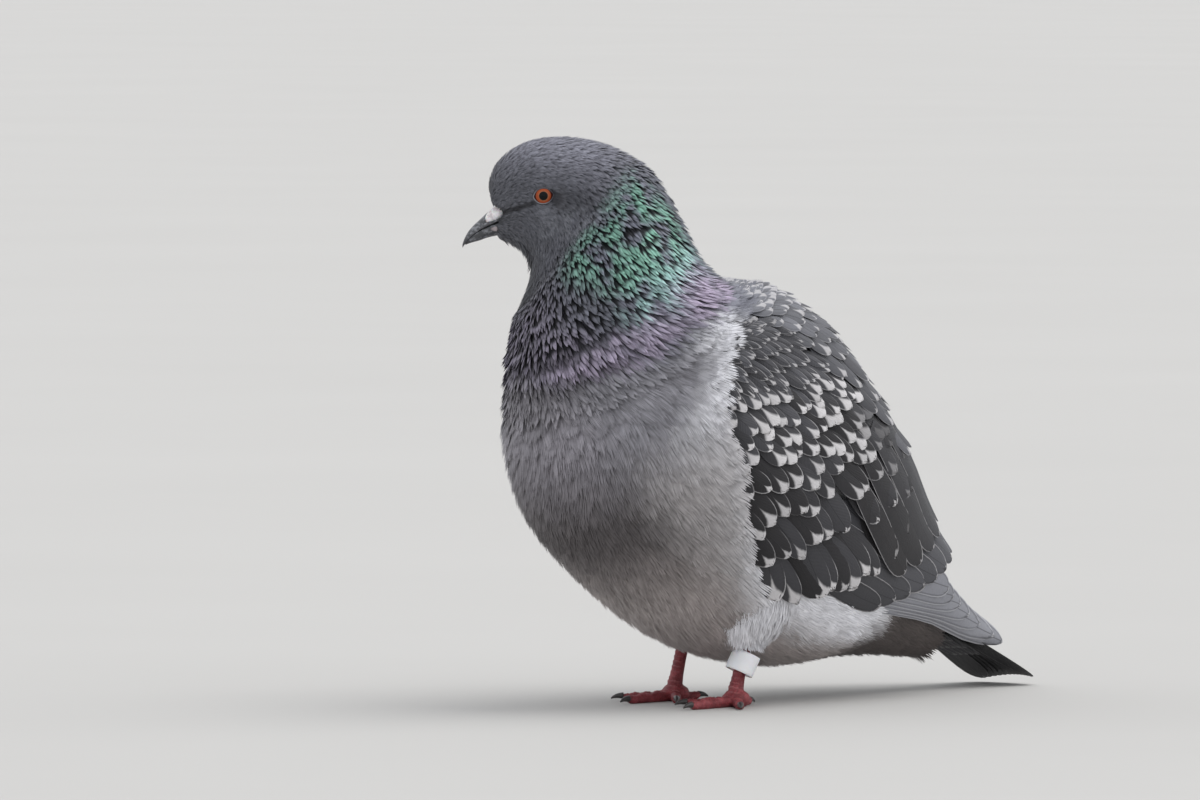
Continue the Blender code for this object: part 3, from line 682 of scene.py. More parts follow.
CERE_MIDDLE, CERE_SLOPE = (45.3, 179.2), math.radians(33)
CERE_LOBE = (5.6, 2.8, 2.9)  # half length, half width and half height of one lobe
CERE_APART, CERE_SPLAY = 2.15, 0.35  # of the lobes' middles, and how they part towards the back
lobes = bmesh.new()
for side in (1, -1):
    lobe = bmesh.ops.create_uvsphere(lobes, u_segments=40, v_segments=24, radius=1.0)["verts"]
    for v in lobe:
        x, y, z = v.co
        swell = 1 - 0.3 * max(-x, 0) ** 2 - 0.35 * (z < 0)  # slimmer behind, flatter beneath
        length, wide, high = x * CERE_LOBE[0], y * CERE_LOBE[1], z * CERE_LOBE[2] * swell
        forward = CERE_MIDDLE[0] + length * math.cos(CERE_SLOPE) + high * math.sin(CERE_SLOPE)
        height = CERE_MIDDLE[1] - length * math.sin(CERE_SLOPE) + high * math.cos(CERE_SLOPE)
        v.co = placed(head_point(forward, side * (CERE_APART - CERE_SPLAY * x) + wide, height))
lobe_mesh = bpy.data.meshes.new("cere_lobes")
lobes.to_mesh(lobe_mesh)
lobes.free()
lobe_mesh.shade_smooth()
chalk = Finish("cere_chalk", Subsurface_Weight=0.15, Subsurface_Scale=0.001)
powder = chalk.noise(700.0, 4.0)
pores = chalk.noise(2600.0, 2.0)
chalk_colour = chalk.blend(chalk.rise(powder, 0.35, 0.6), (0.62, 0.56, 0.58), (0.86, 0.84, 0.85))
cere = add_piece("cere_lobes", lobe_mesh, chalk.shows(
    Base_Color=chalk_colour,
    Roughness=0.62 + 0.25 * powder,
    Normal=chalk.bump(pores + powder, 0.35, 0.0003),
))
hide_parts("cere")


# ---- Eyes and lids ---------------------------------------------------------------------------
# Each eye is a wet ball with an orange iris round a black pupil. Two thin bare lids lie on it, with
# a pale, finely beaded rim and a corner drawn out in front and behind.

EYE_OPENING = (3.2, 2.62)  # half length and half height between the lids
PUPIL = 1.6
LID_LEAN, LID_REACH = math.radians(8), 4.6  # how far out the lids still follow the ball
LID_BEADS = 34
# Across a lid from its edge outwards: distance out and height over the ball
LID_PROFILE = (
    (-0.12, -0.25), (0.0, 0.08), (0.1, 0.2), (0.26, 0.22), (0.42, 0.16), (0.9, 0.12), (1.6, 0.1),
)

eye_finish = Finish("eye_wet", Coat_Weight=0.15, Coat_Roughness=0.05, Specular_IOR_Level=0.1)
reach = eye_finish.reads("reach")
rays = eye_finish.noise(1800.0, 4.0)
iris = eye_finish.blend(eye_finish.rise(reach, PUPIL, 2.2), (0.3, 0.13, 0.06), (0.34, 0.068, 0.02))
iris = eye_finish.blend(eye_finish.rise(rays, 0.35, 0.7) * 0.5, iris, (0.3, 0.045, 0.015))
iris = eye_finish.blend(eye_finish.rise(reach, 2.45, 2.95), iris, (0.03, 0.006, 0.005))
pupil = 1 - eye_finish.rise(reach, PUPIL - 0.12, PUPIL + 0.1)
eye_paint = eye_finish.shows(
    Base_Color=eye_finish.blend(pupil, iris, (0.002, 0.002, 0.002)),
    Roughness=0.25 - 0.1 * eye_finish.rise(reach, 1.0, 2.0),
)

lid_finish = Finish("lid_skin", Specular_IOR_Level=0.4)
lid_out = lid_finish.reads("outward")
beads = lid_finish.cells(2200.0)
lid_rim = lid_finish.band(lid_out, -0.05, 0.08, 0.25, 0.5) * lid_finish.reads("pale")
lid_colour = lid_finish.blend(lid_rim, (0.045, 0.045, 0.055), (0.23, 0.225, 0.24))
lid_paint = lid_finish.shows(
    Base_Color=lid_colour,
    Roughness=0.45 + 0.2 * beads,
    Normal=lid_finish.bump(beads, 0.5, 0.0002),
)

SIDES = (("left", 1), ("right", -1))
BALL_RINGS, EYE_AROUND = 64, 96
eye_turn = np.arange(EYE_AROUND) * 2 * np.pi / EYE_AROUND
lid_pale = 0.1 + 0.9 * np.clip(0.35 + 0.65 * np.cos(eye_turn) - 0.75 * np.sin(eye_turn), 0, 1)


def near_turn(middle, width):
    return np.exp(-(((eye_turn - middle) / width) ** 2))


lid_corner = 0.5 * near_turn(0, 0.35) + 0.5 * near_turn(2 * np.pi, 0.35) + near_turn(np.pi, 0.3) * 0.6

for side_name, side in SIDES:
    tilts = np.linspace(0.002, np.pi - 0.002, BALL_RINGS)
    tilt, turn = np.meshgrid(tilts, eye_turn, indexing="ij")
    near = EYE_RADIUS * np.sin(tilt)
    out = side * (EYE_SIDE + EYE_RADIUS * np.cos(tilt))
    points = head_point(EYE_AT[0] + near * np.cos(turn), out, EYE_AT[1] + near * np.sin(turn))
    points = placed(points.reshape(-1, 3))
    mesh = tube_mesh(f"eyeball_{side_name}", points, BALL_RINGS, EYE_AROUND, {"reach": near.ravel()})
    eyeball = add_piece(f"eyeball_{side_name}", mesh, eye_paint)
    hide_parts(f"eye_{side_name}")

    rows, outward = [], []
    for out, up in LID_PROFILE:
        bead = 1 + 0.12 * np.cos(eye_turn * LID_BEADS) * (0 < out < 0.7)
        f = (EYE_OPENING[0] + out * bead + 0.45 * lid_corner) * np.cos(eye_turn)
        h = (EYE_OPENING[1] + out * bead) * np.sin(eye_turn)
        leaning_f = f * math.cos(LID_LEAN) + h * math.sin(LID_LEAN)
        leaning_h = h * math.cos(LID_LEAN) - f * math.sin(LID_LEAN)
        from_middle = np.minimum(leaning_f * leaning_f + leaning_h * leaning_h, LID_REACH**2)
        on_ball = np.sqrt(np.clip(EYE_RADIUS**2 - from_middle, 0, None))
        over = side * (EYE_SIDE + on_ball + up * (0.8 + 0.2 * bead))
        rows.append(head_point(EYE_AT[0] + leaning_f, over, EYE_AT[1] + leaning_h))
        outward.append(np.full(EYE_AROUND, out))
    marks = {"outward": np.concatenate(outward), "pale": np.tile(lid_pale, len(rows))}
    quads = tube_quads(len(rows), EYE_AROUND)
    mesh = build_mesh(f"lids_{side_name}", placed(np.concatenate(rows)), [quads], marks)
    add_piece(f"lids_{side_name}", mesh, lid_paint)


# ---- Legs, claws and ring --------------------------------------------------------------------
# Dark red scaly skin over a slim shank and four toes that lie flat on the floor, with overlapping
# scutes in front and fine net-like scales behind, and curved black claws of horn. A blank ring of
# white plastic hangs loose round the left shank.

FEET = {"left": (19.5, 0.0), "right": (-19.5, 8.0)}
HOCK_LEAN = {"left": (1.0, 7.0), "right": (-1.0, 9.0)}
FOOT_HEADING = {"left": 6.0, "right": -4.0}
ANKLE_HEIGHT, TARSUS_TOP, TARSUS_RADIUS = 6.7, 34.0, 2.3
TARSUS_SCUTES, TOE_SCUTE = 15, 1.45  # scutes up a shank, and the length of one on a toe
SCUTE_LIP, LEG_VOXEL = 0.00028, 0.0004
CLAW_BEND, CLAW_START, CLAW_SWEEP = 4.7, math.radians(-10), math.radians(62)  # radius and turn of its curve
TARSUS_SHAPE = ((0.0, 1.2), (0.12, 1.05), (0.3, 0.98), (0.55, 1.0), (0.8, 1.1), (1.0, 1.25))
PAD_SIZE, PAD_MIDDLE = (5.2, 5.2, 3.5), 2.7
# Toes, the hind one first: angle from straight ahead, length to the claw, radius, number of pads
TOES = ((168.0, 10.5, 1.9, 1), (42.0, 18.0, 2.0, 2), (0.0, 26.0, 2.15, 3), (-43.0, 19.0, 1.95, 4))


def rod_points(path, radii, around):
    """Rings of points round a path, and the angle of each from the top."""
    path, radii = np.asarray(path, float), np.asarray(radii, float)
    ahead = np.gradient(path, axis=0)
    ahead /= np.linalg.norm(ahead, axis=1, keepdims=True)
    steep = np.abs(ahead[:, 2:3]) > 0.9
    across = np.where(steep, np.array([1.0, 0, 0]), np.cross(ahead, UP))
    across -= ahead * (across * ahead).sum(1, keepdims=True)
    across /= np.linalg.norm(across, axis=1, keepdims=True)
    up = np.cross(across, ahead)
    turn = np.arange(around) * 2 * np.pi / around
    ring = across[:, None] * np.sin(turn)[None, :, None] + up[:, None] * np.cos(turn)[None, :, None]
    return path[:, None] + ring * radii[:, None, None], np.tile(turn, (len(path), 1))


leg_finish = Finish("leg_scales", Specular_IOR_Level=0.45, Subsurface_Weight=0.06, Subsurface_Scale=0.001)
scute = leg_finish.reads("scute")
scales = leg_finish.cells(950.0, "DISTANCE_TO_EDGE")
mottle = leg_finish.noise(260.0, 3.0)
leg_colour = leg_finish.blend(leg_finish.rise(mottle, 0.35, 0.7), (0.2, 0.028, 0.035), (0.36, 0.07, 0.08))
leg_colour = leg_finish.blend(leg_finish.rise(scute, 0.55, 1.0) * 0.5, leg_colour, (0.5, 0.2, 0.2))
creases = (1 - leg_finish.rise(scales, 0.0, 0.12)) * 0.5
leg_colour = leg_finish.blend(creases, leg_colour, (0.1, 0.02, 0.025))
leg_paint = leg_finish.shows(
    Base_Color=leg_colour,
    Roughness=0.42 + 0.3 * mottle,
    Normal=leg_finish.bump(leg_finish.rise(scales, 0.0, 0.2), 0.45, 0.0003),
)
claw_finish = Finish("claw_horn", Specular_IOR_Level=0.5)
claw_streaks = claw_finish.noise(900.0, 2.0)
claw_paint = claw_finish.shows(
    Base_Color=claw_finish.blend(claw_streaks, (0.012, 0.011, 0.012), (0.06, 0.05, 0.048)),
    Roughness=0.28 + 0.2 * claw_streaks,
    Normal=claw_finish.bump(claw_streaks, 0.2, 0.0002),
)


def build_leg(side_name, side):
    """Shank, toes and claws of one leg on the floor. Gives the middle of its ankle and of its hock."""
    foot = np.array([*FEET[side_name], 0.0])
    ankle = foot + UP * ANKLE_HEIGHT
    hock = foot + np.array([*HOCK_LEAN[side_name], TARSUS_TOP])
    parts = []  # points, how far along in scutes, and how much it faces front or up
    share = np.linspace(-0.14, 1, 100)
    radii = TARSUS_RADIUS * np.interp(share, *np.array(TARSUS_SHAPE).T)
    path = ankle + (hock - ankle) * share[:, None]
    ring, _ = rod_points(path, radii, 32)
    backward = (ring - path[:, None])[..., 1] / radii[:, None]
    along = np.tile(share[:, None] * TARSUS_SCUTES, (1, 32))
    parts.append((ring, along, np.clip(0.5 - 0.9 * backward, 0, 1)))
    for angle, length, radius, pads in TOES:
        a = math.radians(angle - FOOT_HEADING[side_name])
        ahead = np.array([-side * math.sin(a), -math.cos(a), 0.0])
        f = np.linspace(0, 1, 70)
        knuckle = 1 + 0.09 * np.cos(2 * np.pi * pads * f)
        round_end = np.sqrt(np.clip(1 - (np.clip(f - 0.93, 0, 1) / 0.075) ** 2, 0.05, 1))
        r = radius * knuckle * (1 - 0.24 * f) * round_end
        path = foot + ahead * (2.0 + (length - 2.0) * f)[:, None] + UP * (r * 0.86)[:, None]
        ring, turn = rod_points(path, r, 28)
        along = np.tile(f[:, None] * (length / TOE_SCUTE), (1, 28))
        parts.append((ring, along, np.clip(np.cos(turn) * 1.4 - 0.3, 0, 1)))
        claw_f = np.linspace(0, 1, 24)
        bend = CLAW_START + CLAW_SWEEP * claw_f
        out = length + 0.1 + CLAW_BEND * (np.sin(bend) - math.sin(CLAW_START))
        rise = 1.9 + CLAW_BEND * (np.cos(bend) - 1) * 0.58
        claw_path = foot + ahead * out[:, None] + UP * rise[:, None]
        claw_ring, _ = rod_points(claw_path, 1.1 * (1 - claw_f) ** 0.7 + 0.12, 16)
        claw_ring = claw_ring.reshape(-1, 3)
        claw_ring[:, 2] = np.maximum(claw_ring[:, 2], 0.0)
        number = len(parts) - 1
        mesh = tube_mesh(f"claw_{side_name}_{number}", placed(claw_ring), 24, 16)
        claw = add_piece(f"claw_{side_name}_{number}", mesh, claw_paint)
        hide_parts(f"leg_{side_name}_claw_{number}")

    joined = bmesh.new()
    for ring, _, _ in parts:
        spare = tube_mesh("part", placed(ring.reshape(-1, 3)), *ring.shape[:2])
        joined.from_mesh(spare)
    pad = bmesh.ops.create_uvsphere(joined, u_segments=32, v_segments=20, radius=1.0)["verts"]
    for v in pad:
        v.co = placed(foot + UP * PAD_MIDDLE + np.array(v.co) * np.array(PAD_SIZE))
    bmesh.ops.recalc_face_normals(joined, faces=joined.faces)
    mesh = bpy.data.meshes.new(f"leg_{side_name}")
    joined.to_mesh(mesh)
    joined.free()
    leg = add_piece(f"leg_{side_name}", mesh)
    mesh = one_skin(leg, LEG_VOXEL, 3)

    known = np.concatenate([placed(ring.reshape(-1, 3)) for ring, _, _ in parts])
    along = np.concatenate([a.ravel() for _, a, _ in parts])
    front = np.concatenate([b.ravel() for _, _, b in parts])
    nearest = nearest_known(known, mesh)
    step = along[nearest] % 1.0
    lip = (step**3 - 0.25) * front[nearest]  # each scute rises to its lower edge
    normals = take(mesh.vertex_normals, "vector", np.float32, 3)
    points = take(mesh.vertices, "co", np.float32, 3) + normals * (lip * SCUTE_LIP)[:, None]
    points[:, 2] = np.maximum(points[:, 2], 0.0)
    mesh.vertices.foreach_set("co", points.astype(np.float32).ravel())
    mark(mesh, "scute", step * front[nearest])
    mesh.materials.append(leg_paint)
    stood_for = ("foot", "tarsus", "toe_1", "toe_2", "toe_3", "toe_4")
    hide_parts(*(f"leg_{side_name}_{part}" for part in stood_for))
    return ankle, hock


shanks = {side_name: build_leg(side_name, side) for side_name, side in SIDES}

RING_RADIUS, RING_WALL, RING_HEIGHT, RING_MIDDLE = 5.3, 0.7, 7.6, 15.8
RING_HANG, RING_TIP = np.array([0.4, 0.3, 0.0]), math.radians(13)
RING_TURNS, RING_EDGE = 120, 28
ankle, hock = shanks["left"]
ring_axis = (hock - ankle) / np.linalg.norm(hock - ankle)
ring_middle = ankle + ring_axis * ((RING_MIDDLE - ANKLE_HEIGHT) / ring_axis[2]) + RING_HANG
profile = []  # of the ring's wall, with slightly rounded edges
for k in range(RING_EDGE):
    a = 2 * math.pi * k / RING_EDGE
    square = (abs(math.cos(a)) ** 8 + abs(math.sin(a)) ** 8) ** (-1 / 8)
    across = RING_RADIUS - RING_WALL / 2 + math.cos(a) * square * RING_WALL / 2
    profile.append((across, math.sin(a) * square * RING_HEIGHT / 2))
ring_axis = ring_axis + np.array([0.707, 0.707, 0.0]) * math.tan(RING_TIP)  # tips over on the shank
ring_axis /= np.linalg.norm(ring_axis)
ring_across = np.cross(UP, ring_axis)
ring_across /= np.linalg.norm(ring_across)
ring_other = np.cross(ring_axis, ring_across)
turns = np.arange(RING_TURNS) * 2 * np.pi / RING_TURNS
ring_points = [
    ring_middle + (ring_across * math.cos(t) + ring_other * math.sin(t)) * r + ring_axis * h
    for t in turns for r, h in profile
]
ring_quads = tube_quads(RING_TURNS + 1, RING_EDGE) % (RING_TURNS * RING_EDGE)  # the last turn is the first
ring_mesh = build_mesh("leg_ring", placed(np.array(ring_points)), [ring_quads])
ring_finish = Finish("ring_plastic", Specular_IOR_Level=0.5, Subsurface_Weight=0.1, Subsurface_Scale=0.001)
scuffs = ring_finish.noise(380.0, 5.0)
dirt = ring_finish.rise(ring_finish.noise(120.0, 3.0), 0.55, 0.8)
ring_colour = ring_finish.blend(scuffs, (0.86, 0.87, 0.9), (0.95, 0.95, 0.97))
ring_colour = ring_finish.blend(dirt * 0.2, ring_colour, (0.5, 0.48, 0.46))
ring = add_piece("leg_ring", ring_mesh, ring_finish.shows(
    Base_Color=ring_colour,
    Roughness=0.3 + 0.3 * scuffs,
    Normal=ring_finish.bump(scuffs, 0.15, 0.0002),
))
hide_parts("leg_left_ring")


# ---- Coat of head, neck and body -------------------------------------------------------------
# Small feathers in staggered order, each a fan of thin barbs that are free at its end. They lie
# back from the bill, over each other like tiles: tiny on the face, pointed on the neck, and
# long and loose on breast, flanks and thighs.

# By station, in millimetres: a feather's length and half width, how far the scattered roots of the
# body lie apart, and in the ranks of head and neck the gap from row to row and from root to root.
FEATHER_LENGTH = (
    (0, 3.0), (2, 4.2), (4, 5.4), (6, 7.0), (7, 8.8), (8.5, 10.0), (10, 10.0), (12, 11.5), (18, 15.0),
)
FEATHER_HALF = (
    (0, 0.38), (2, 0.46), (4, 0.52), (6, 0.68), (8, 0.76), (9.5, 0.7), (9.9, 2.0), (12, 3.2), (18, 3.8),
)
FEATHER_GAP = ((8, 1.6), (10, 2.1), (12, 2.4), (18, 2.6))
RANK_GAP = ((0, 1.0), (2, 1.35), (4, 1.6), (5.6, 2.05), (6.1, 2.5), (7, 3.4), (8.5, 4.0), (10, 3.4))
RANK_WIDTH = ((0, 0.45), (2, 0.5), (4, 0.54), (5.5, 0.66), (6.0, 0.76), (6.5, 0.84), (8, 0.92), (10, 0.8))
FIRST_RANK = 0.04  # the station of the foremost roots
FEATHERS_FLUSH = 12.0  # how far from the head's middle the feathers stop beside an eye


def fan_blade(barbs, split, drop):
    """A loose feather of barbs that part at the split, the outer ones shorter by the drop. Gives its
    vertices along (0 to 1) and across (-1 to 1), the barb each belongs to, and its faces."""
    along, across, barb, quads, tips = [], [], [], [], []
    levels = [0.0, 0.3, split]
    for k in range(barbs):
        left, right = -1 + 2 * k / barbs, -1 + 2 * (k + 1) / barbs
        middle = (left + right) / 2
        end = 1 - drop * abs(middle) ** 1.6
        first = len(along)
        for level in levels:
            spread = 0.35 + 0.65 * min(level / split, 1.0) ** 0.7
            along += [level * end] * 2
            across += [left * spread, right * spread]
        half = (right - left) / 2 * 0.74
        along += [split * end + (1 - split) * end * 0.68] * 2
        across += [middle * 1.02 - half, middle * 1.02 + half]
        along.append(end)
        across.append(middle * 1.05)
        barb += [k] * (2 * len(levels) + 3)
        for r in range(len(levels)):
            i = first + 2 * r
            quads.append((i, i + 1, i + 3, i + 2))
        i = first + 2 * len(levels)
        tips.append((i, i + 1, i + 2))
    return {
        "along": np.array(along), "across": np.array(across), "barb": np.array(barb),
        "faces": [np.array(quads), np.array(tips)], "barbs": barbs, "split": split,
    }


def vane_blade(columns, levels, outline):
    """A whole vane with a smooth edge: outline gives its half width at each level."""
    across_lines = np.linspace(-1, 1, columns + 1)
    along = np.repeat(levels, columns + 1)
    across = (np.array(outline)[:, None] * across_lines).ravel()
    r, c = np.meshgrid(np.arange(len(levels) - 1), np.arange(columns), indexing="ij")
    step = columns + 1
    quads = np.stack([r * step + c, r * step + c + 1, (r + 1) * step + c + 1, (r + 1) * step + c], -1)
    return {
        "along": along, "across": across, "barb": np.tile(np.arange(columns + 1), len(levels)),
        "faces": [quads.reshape(-1, 4)], "barbs": columns + 1, "split": 0.8,
        "line": np.tile(across_lines, len(levels)),
    }


def lie_step(rows, start, heading, length):
    """How far a feather reaches in stations and degrees. Heading turns from tailwards to bellywards."""
    side = np.where(start[:, 1] < 0, -1.0, 1.0)
    turn = np.radians(heading)
    move = np.zeros_like(start)
    for _ in range(2):
        middle = start + move / 2
        by_station, by_degree, _ = form_frame(rows, middle[:, 0], middle[:, 1])
        move = np.stack([
            length * np.cos(turn) / np.linalg.norm(by_station, axis=1),
            side * length * np.sin(turn) / np.linalg.norm(by_degree, axis=1),
        ], -1)
    return move


def rim_line(blade):
    """How near each vertex lies to its vane's edge (0 to 1), and how wide the vane is there."""
    line = np.abs(blade.get("line", blade["across"]))
    return line, np.where(line < 1e-3, 1.0, np.abs(blade["across"]) / np.maximum(line, 1e-3))


def lay(rows, start, move, length, half, blade, low, high, seed, camber=0.0, curl=0.0, ragged=0.06,
        roll=0.15, lean=0.0, offset=(0, 0, 0), lie=None, tuck=0.0):
    """Feathers on a form: from start by move, in stations and degrees, lifted from low to high in
    millimetres. Camber arches a vane across, curl lifts its end, ragged frays it, roll tips it to
    either side at random and lean to the back line, and tuck lowers it at the wing's front edge."""
    rng = np.random.default_rng(seed)
    count, size = len(start), len(blade["along"])
    each = (np.asarray(x, float) for x in (length, half, low, high))
    length, half, low, high = (np.broadcast_to(x, (count,)) for x in each)

    # A feather is laid on three points of the form: there it gets the way across and the normal.
    centre = start[:, None] + move[:, None] * np.array([0.0, 0.5, 1.0])[None, :, None]
    by_station, by_degree, normal = form_frame(rows, centre[..., 0], centre[..., 1])
    a = (by_station * by_station).sum(-1)
    b = (by_station * by_degree).sum(-1)
    c = (by_degree * by_degree).sum(-1)
    ahead_at, ahead_turn = move[:, None, 0], move[:, None, 1]
    across = np.stack([-(b * ahead_at + c * ahead_turn), a * ahead_at + b * ahead_turn], -1)
    size_of = a * across[..., 0] ** 2 + 2 * b * across[..., 0] * across[..., 1] + c * across[..., 1] ** 2
    across /= np.sqrt(size_of)[..., None]
    noise = rng.uniform(-1, 1, (count, blade["barbs"]))[:, blade["barb"]]
    u = np.broadcast_to(blade["along"], (count, size))
    free = np.clip((u - blade["split"] * 0.6) / (1 - blade["split"] * 0.6), 0, 1)
    u = u * (1 + noise * ragged * free)
    v = blade["across"][None] + noise[:, ::-1] * ragged * 0.8 * free
    weight = np.stack([(1 - u) * (1 - 2 * u), 4 * u * (1 - u), u * (2 * u - 1)], -1)
    spread = np.einsum("nmk,nkd->nmd", weight, across)
    up = np.einsum("nmk,nkd->nmd", weight, normal)
    spot = start[:, None] + move[:, None] * u[..., None] + spread * (v * half[:, None])[..., None]
    strand = rng.uniform(0, 1, (count, blade["barbs"]))[:, blade["barb"]]
    tilt = rng.uniform(-1, 1, count)[:, None] * roll
    tilt = tilt - np.sign(start[:, 1])[:, None] * lean
    lift = low[:, None] + (high - low)[:, None] * u - camber * v * v + tilt * v
    lift = lift + curl * u**3 + rng.uniform(-0.12, 0.12, count)[:, None]
    if tuck:  # goes under the body's feathers along the wing's front edge
        inside = by_rows(WING_EDGE, spot[..., 0], 2) - np.abs(spot[..., 1])
        before = 1 - np.clip((spot[..., 0] - 13.2) / 0.6, 0, 1)
        lift = lift - tuck * (1 - np.clip(inside / 7, 0, 1)) * before
    points = form_point(rows, spot[..., 0], spot[..., 1]) + up * lift[..., None]
    points = socket(points, FEATHERS_FLUSH) + np.array(offset)
    from_tip = (1 - u) * length[:, None]
    line, wide = rim_line(blade)
    rim = np.minimum(from_tip, ((1 - line) * wide)[None] * half[:, None])
    shade = np.repeat(rng.uniform(0, 1, count), size)
    station, angle = np.repeat(start[:, 0], size), np.repeat(np.abs(start[:, 1]), size)
    if lie:
        station, angle = lie[0] + 0 * station, lie[1] + 0 * angle
    first = np.arange(count)[:, None, None] * size
    return {
        "points": points.reshape(-1, 3),
        "faces": [(f[None] + first).reshape(-1, f.shape[1]) for f in blade["faces"]],
        "marks": {
            "along": u.ravel(), "rim": rim.ravel(), "shade": shade, "strand": strand.ravel(),
            "from_tip": from_tip.ravel(), "line": np.tile(line, count),
            "station": station, "angle": angle,
            "along_mm": (u * length[:, None]).ravel(), "across_mm": (v * half[:, None]).ravel(),
        },
        "root": np.repeat(bake_place(start[:, 0], start[:, 1]), size, axis=0),
        "patch": np.stack([v.ravel() / 2, u.ravel() - 0.5], -1),
    }


BAKE_PATCH = 0.003


def coat_piece(name, laid, finish, patch=BAKE_PATCH):
    """One mesh of all feathers laid, with the bake map: a small patch for each at its root's place."""
    start = 0
    faces = {}
    for one in laid:
        for f in one["faces"]:
            faces.setdefault(f.shape[1], []).append(f + start)
        start += len(one["points"])
    points = np.concatenate([one["points"] for one in laid])
    marks = {key: np.concatenate([one["marks"][key] for one in laid]) for key in laid[0]["marks"]}
    mesh = build_mesh(name, placed(points), [np.concatenate(f) for f in faces.values()], marks)
    uv = np.concatenate([one["root"] + one["patch"] * patch for one in laid])
    bake_map(mesh, uv[take(mesh.loops, "vertex_index", np.int32)])
    return add_piece(name, mesh, finish)


PROBES, THROW, TRIES = 4000, 20000, 9  # roots drawn to measure a form, in one go, and for each that fits


def scatter(rows, stations, angles, spacing, seed, keep=None):
    """Roots spread over a form, never closer than spacing asks in millimetres."""
    rng = np.random.default_rng(seed)

    def draw(count):
        """Places drawn at random, and how many feathers a unit of station and degree takes there."""
        some = np.stack([rng.uniform(*stations, count), rng.uniform(*angles, count)], -1)
        by_station, by_degree, _ = form_frame(rows, some[:, 0], some[:, 1])
        area = np.linalg.norm(np.cross(by_station, by_degree), axis=1)
        return some, area / spacing(some[:, 0]) ** 2

    _, dense = draw(PROBES)
    total = dense.mean() * (stations[1] - stations[0]) * (angles[1] - angles[0])
    want = int(total * TRIES * 0.7)
    pool = []
    while sum(map(len, pool)) < want:
        some, weight = draw(THROW)
        pool.append(some[rng.uniform(0, 1, THROW) < weight / np.percentile(dense, 99.5)])
    some = np.concatenate(pool)[:want]
    if keep is not None:
        some = some[keep(some[:, 0], some[:, 1])]
    points, gaps = form_point(rows, some[:, 0], some[:, 1]), spacing(some[:, 0])
    cell = gaps.max()
    boxes, chosen = {}, []
    around = [(i, j, k) for i in (-1, 0, 1) for j in (-1, 0, 1) for k in (-1, 0, 1)]
    for n, ((x, y, z), gap) in enumerate(zip(points.tolist(), gaps.tolist())):
        i, j, k = int(x // cell), int(y // cell), int(z // cell)
        others = (p for di, dj, dk in around for p in boxes.get((i + di, j + dj, k + dk), ()))
        if all((px - x) ** 2 + (py - y) ** 2 + (pz - z) ** 2 >= gap * gap for px, py, pz in others):
            boxes.setdefault((i, j, k), []).append((x, y, z))
            chosen.append(n)
    return some[chosen]


def ranks(stations, seed):
    """Roots in staggered rows round the body's form, as far apart as the two RANK tables say."""
    rng = np.random.default_rng(seed)
    turns = np.linspace(-180, 180, 361)
    at, found = stations[0], []
    while at < stations[1]:
        here = np.full(len(turns), at)
        ring = form_point(BODY, here, turns)
        arc = np.concatenate([[0], np.cumsum(np.linalg.norm(np.diff(ring, axis=0), axis=1))])
        apart = np.percentile(np.linalg.norm(form_frame(BODY, here, turns)[0], axis=1), 80)
        count = max(int(arc[-1] / by_rows(RANK_WIDTH, at)), 6)
        where = (np.arange(count) + 0.5 * (len(found) % 2) + rng.uniform(-0.3, 0.3, count)) / count
        step = by_rows(RANK_GAP, at) / apart
        jitter = rng.uniform(-0.35, 0.35, count) * step
        angle = np.interp(where % 1.0 * arc[-1], arc, turns)
        found.append(np.stack([np.maximum(at + jitter, FIRST_RANK), angle], -1))
        at += step
    return np.concatenate(found)


BARE_EYE = (3.75, 3.1)  # half length and half height of the bare oval round an eye


def clear_of_eye(start, move):
    """The share of each feather's length that ends at the lids, if it would cover an eye."""
    share = np.ones(len(start))
    for t in np.linspace(1, 0, 9):
        spot = start + move * t
        f, side, h = head_place(form_point(BODY, spot[:, 0], spot[:, 1]))
        oval = ((f - EYE_AT[0]) / BARE_EYE[0]) ** 2 + ((h - EYE_AT[1]) / BARE_EYE[1]) ** 2
        share = np.where((oval < 1) & (np.abs(side) > 6), t, share)
    return share


coat_finish = Finish("contour_feathers", Specular_IOR_Level=0.3, Sheen_Weight=0.12, Sheen_Roughness=0.5)
coat_colour, coat_green, coat_mauve = plumage(coat_finish)
along, shade = coat_finish.reads("along"), coat_finish.reads("shade")
fine = coat_finish.noise(1400.0, 2.0)
station = coat_finish.reads("station")
hackles = coat_finish.band(station, 5.2, 6.4, 7.9, 9.5)
on_head = 1 - coat_finish.rise(station, 5.2, 6.8)
# Each feather is darker towards its root: partly the darker base a real feather has, and partly painted
# shade in the gaps between overlapping feathers, strongest on the neck's hackles.
dark_root_and_gap_shade = 1 - coat_finish.rise(along, 0.1 + 0.45 * hackles + 0.25 * on_head, 0.7 + 0.08 * hackles)
dark_root_and_gap_shade = dark_root_and_gap_shade * (0.35 + 0.6 * hackles + 0.2 * on_head)
coat_colour = coat_finish.blend(dark_root_and_gap_shade, coat_colour, (0.01, 0.01, 0.013))
plain = coat_finish.rise(station, 9.7, 10.6)  # behind the neck, feathers differ less from each other
tone = 0.55 + 0.18 * plain + (shade - 0.5 * plain * shade) * 0.5
tone = tone + 0.24 * fine + 0.3 * coat_finish.reads("strand")
coat_paint = coat_finish.shows(
    Base_Color=coat_finish.scaled(coat_colour, tone),
    Roughness=0.62 - 0.24 * coat_green.or_more(coat_mauve * 0.5) + 0.1 * fine,
    Metallic=0.35 * coat_green + 0.15 * coat_mauve,
    Normal=coat_finish.bump(fine, 0.3, 0.0003),
)



hair_blade = fan_blade(3, 0.55, 0.3)
hackle_blade = vane_blade(4, (0.0, 0.4, 0.66, 0.82, 0.93, 1.0), (0.6, 0.95, 1.0, 0.82, 0.46, 0.04))
fluff_blade = fan_blade(9, 0.45, 0.2)


def body_gap(at):
    return by_rows(FEATHER_GAP, at)


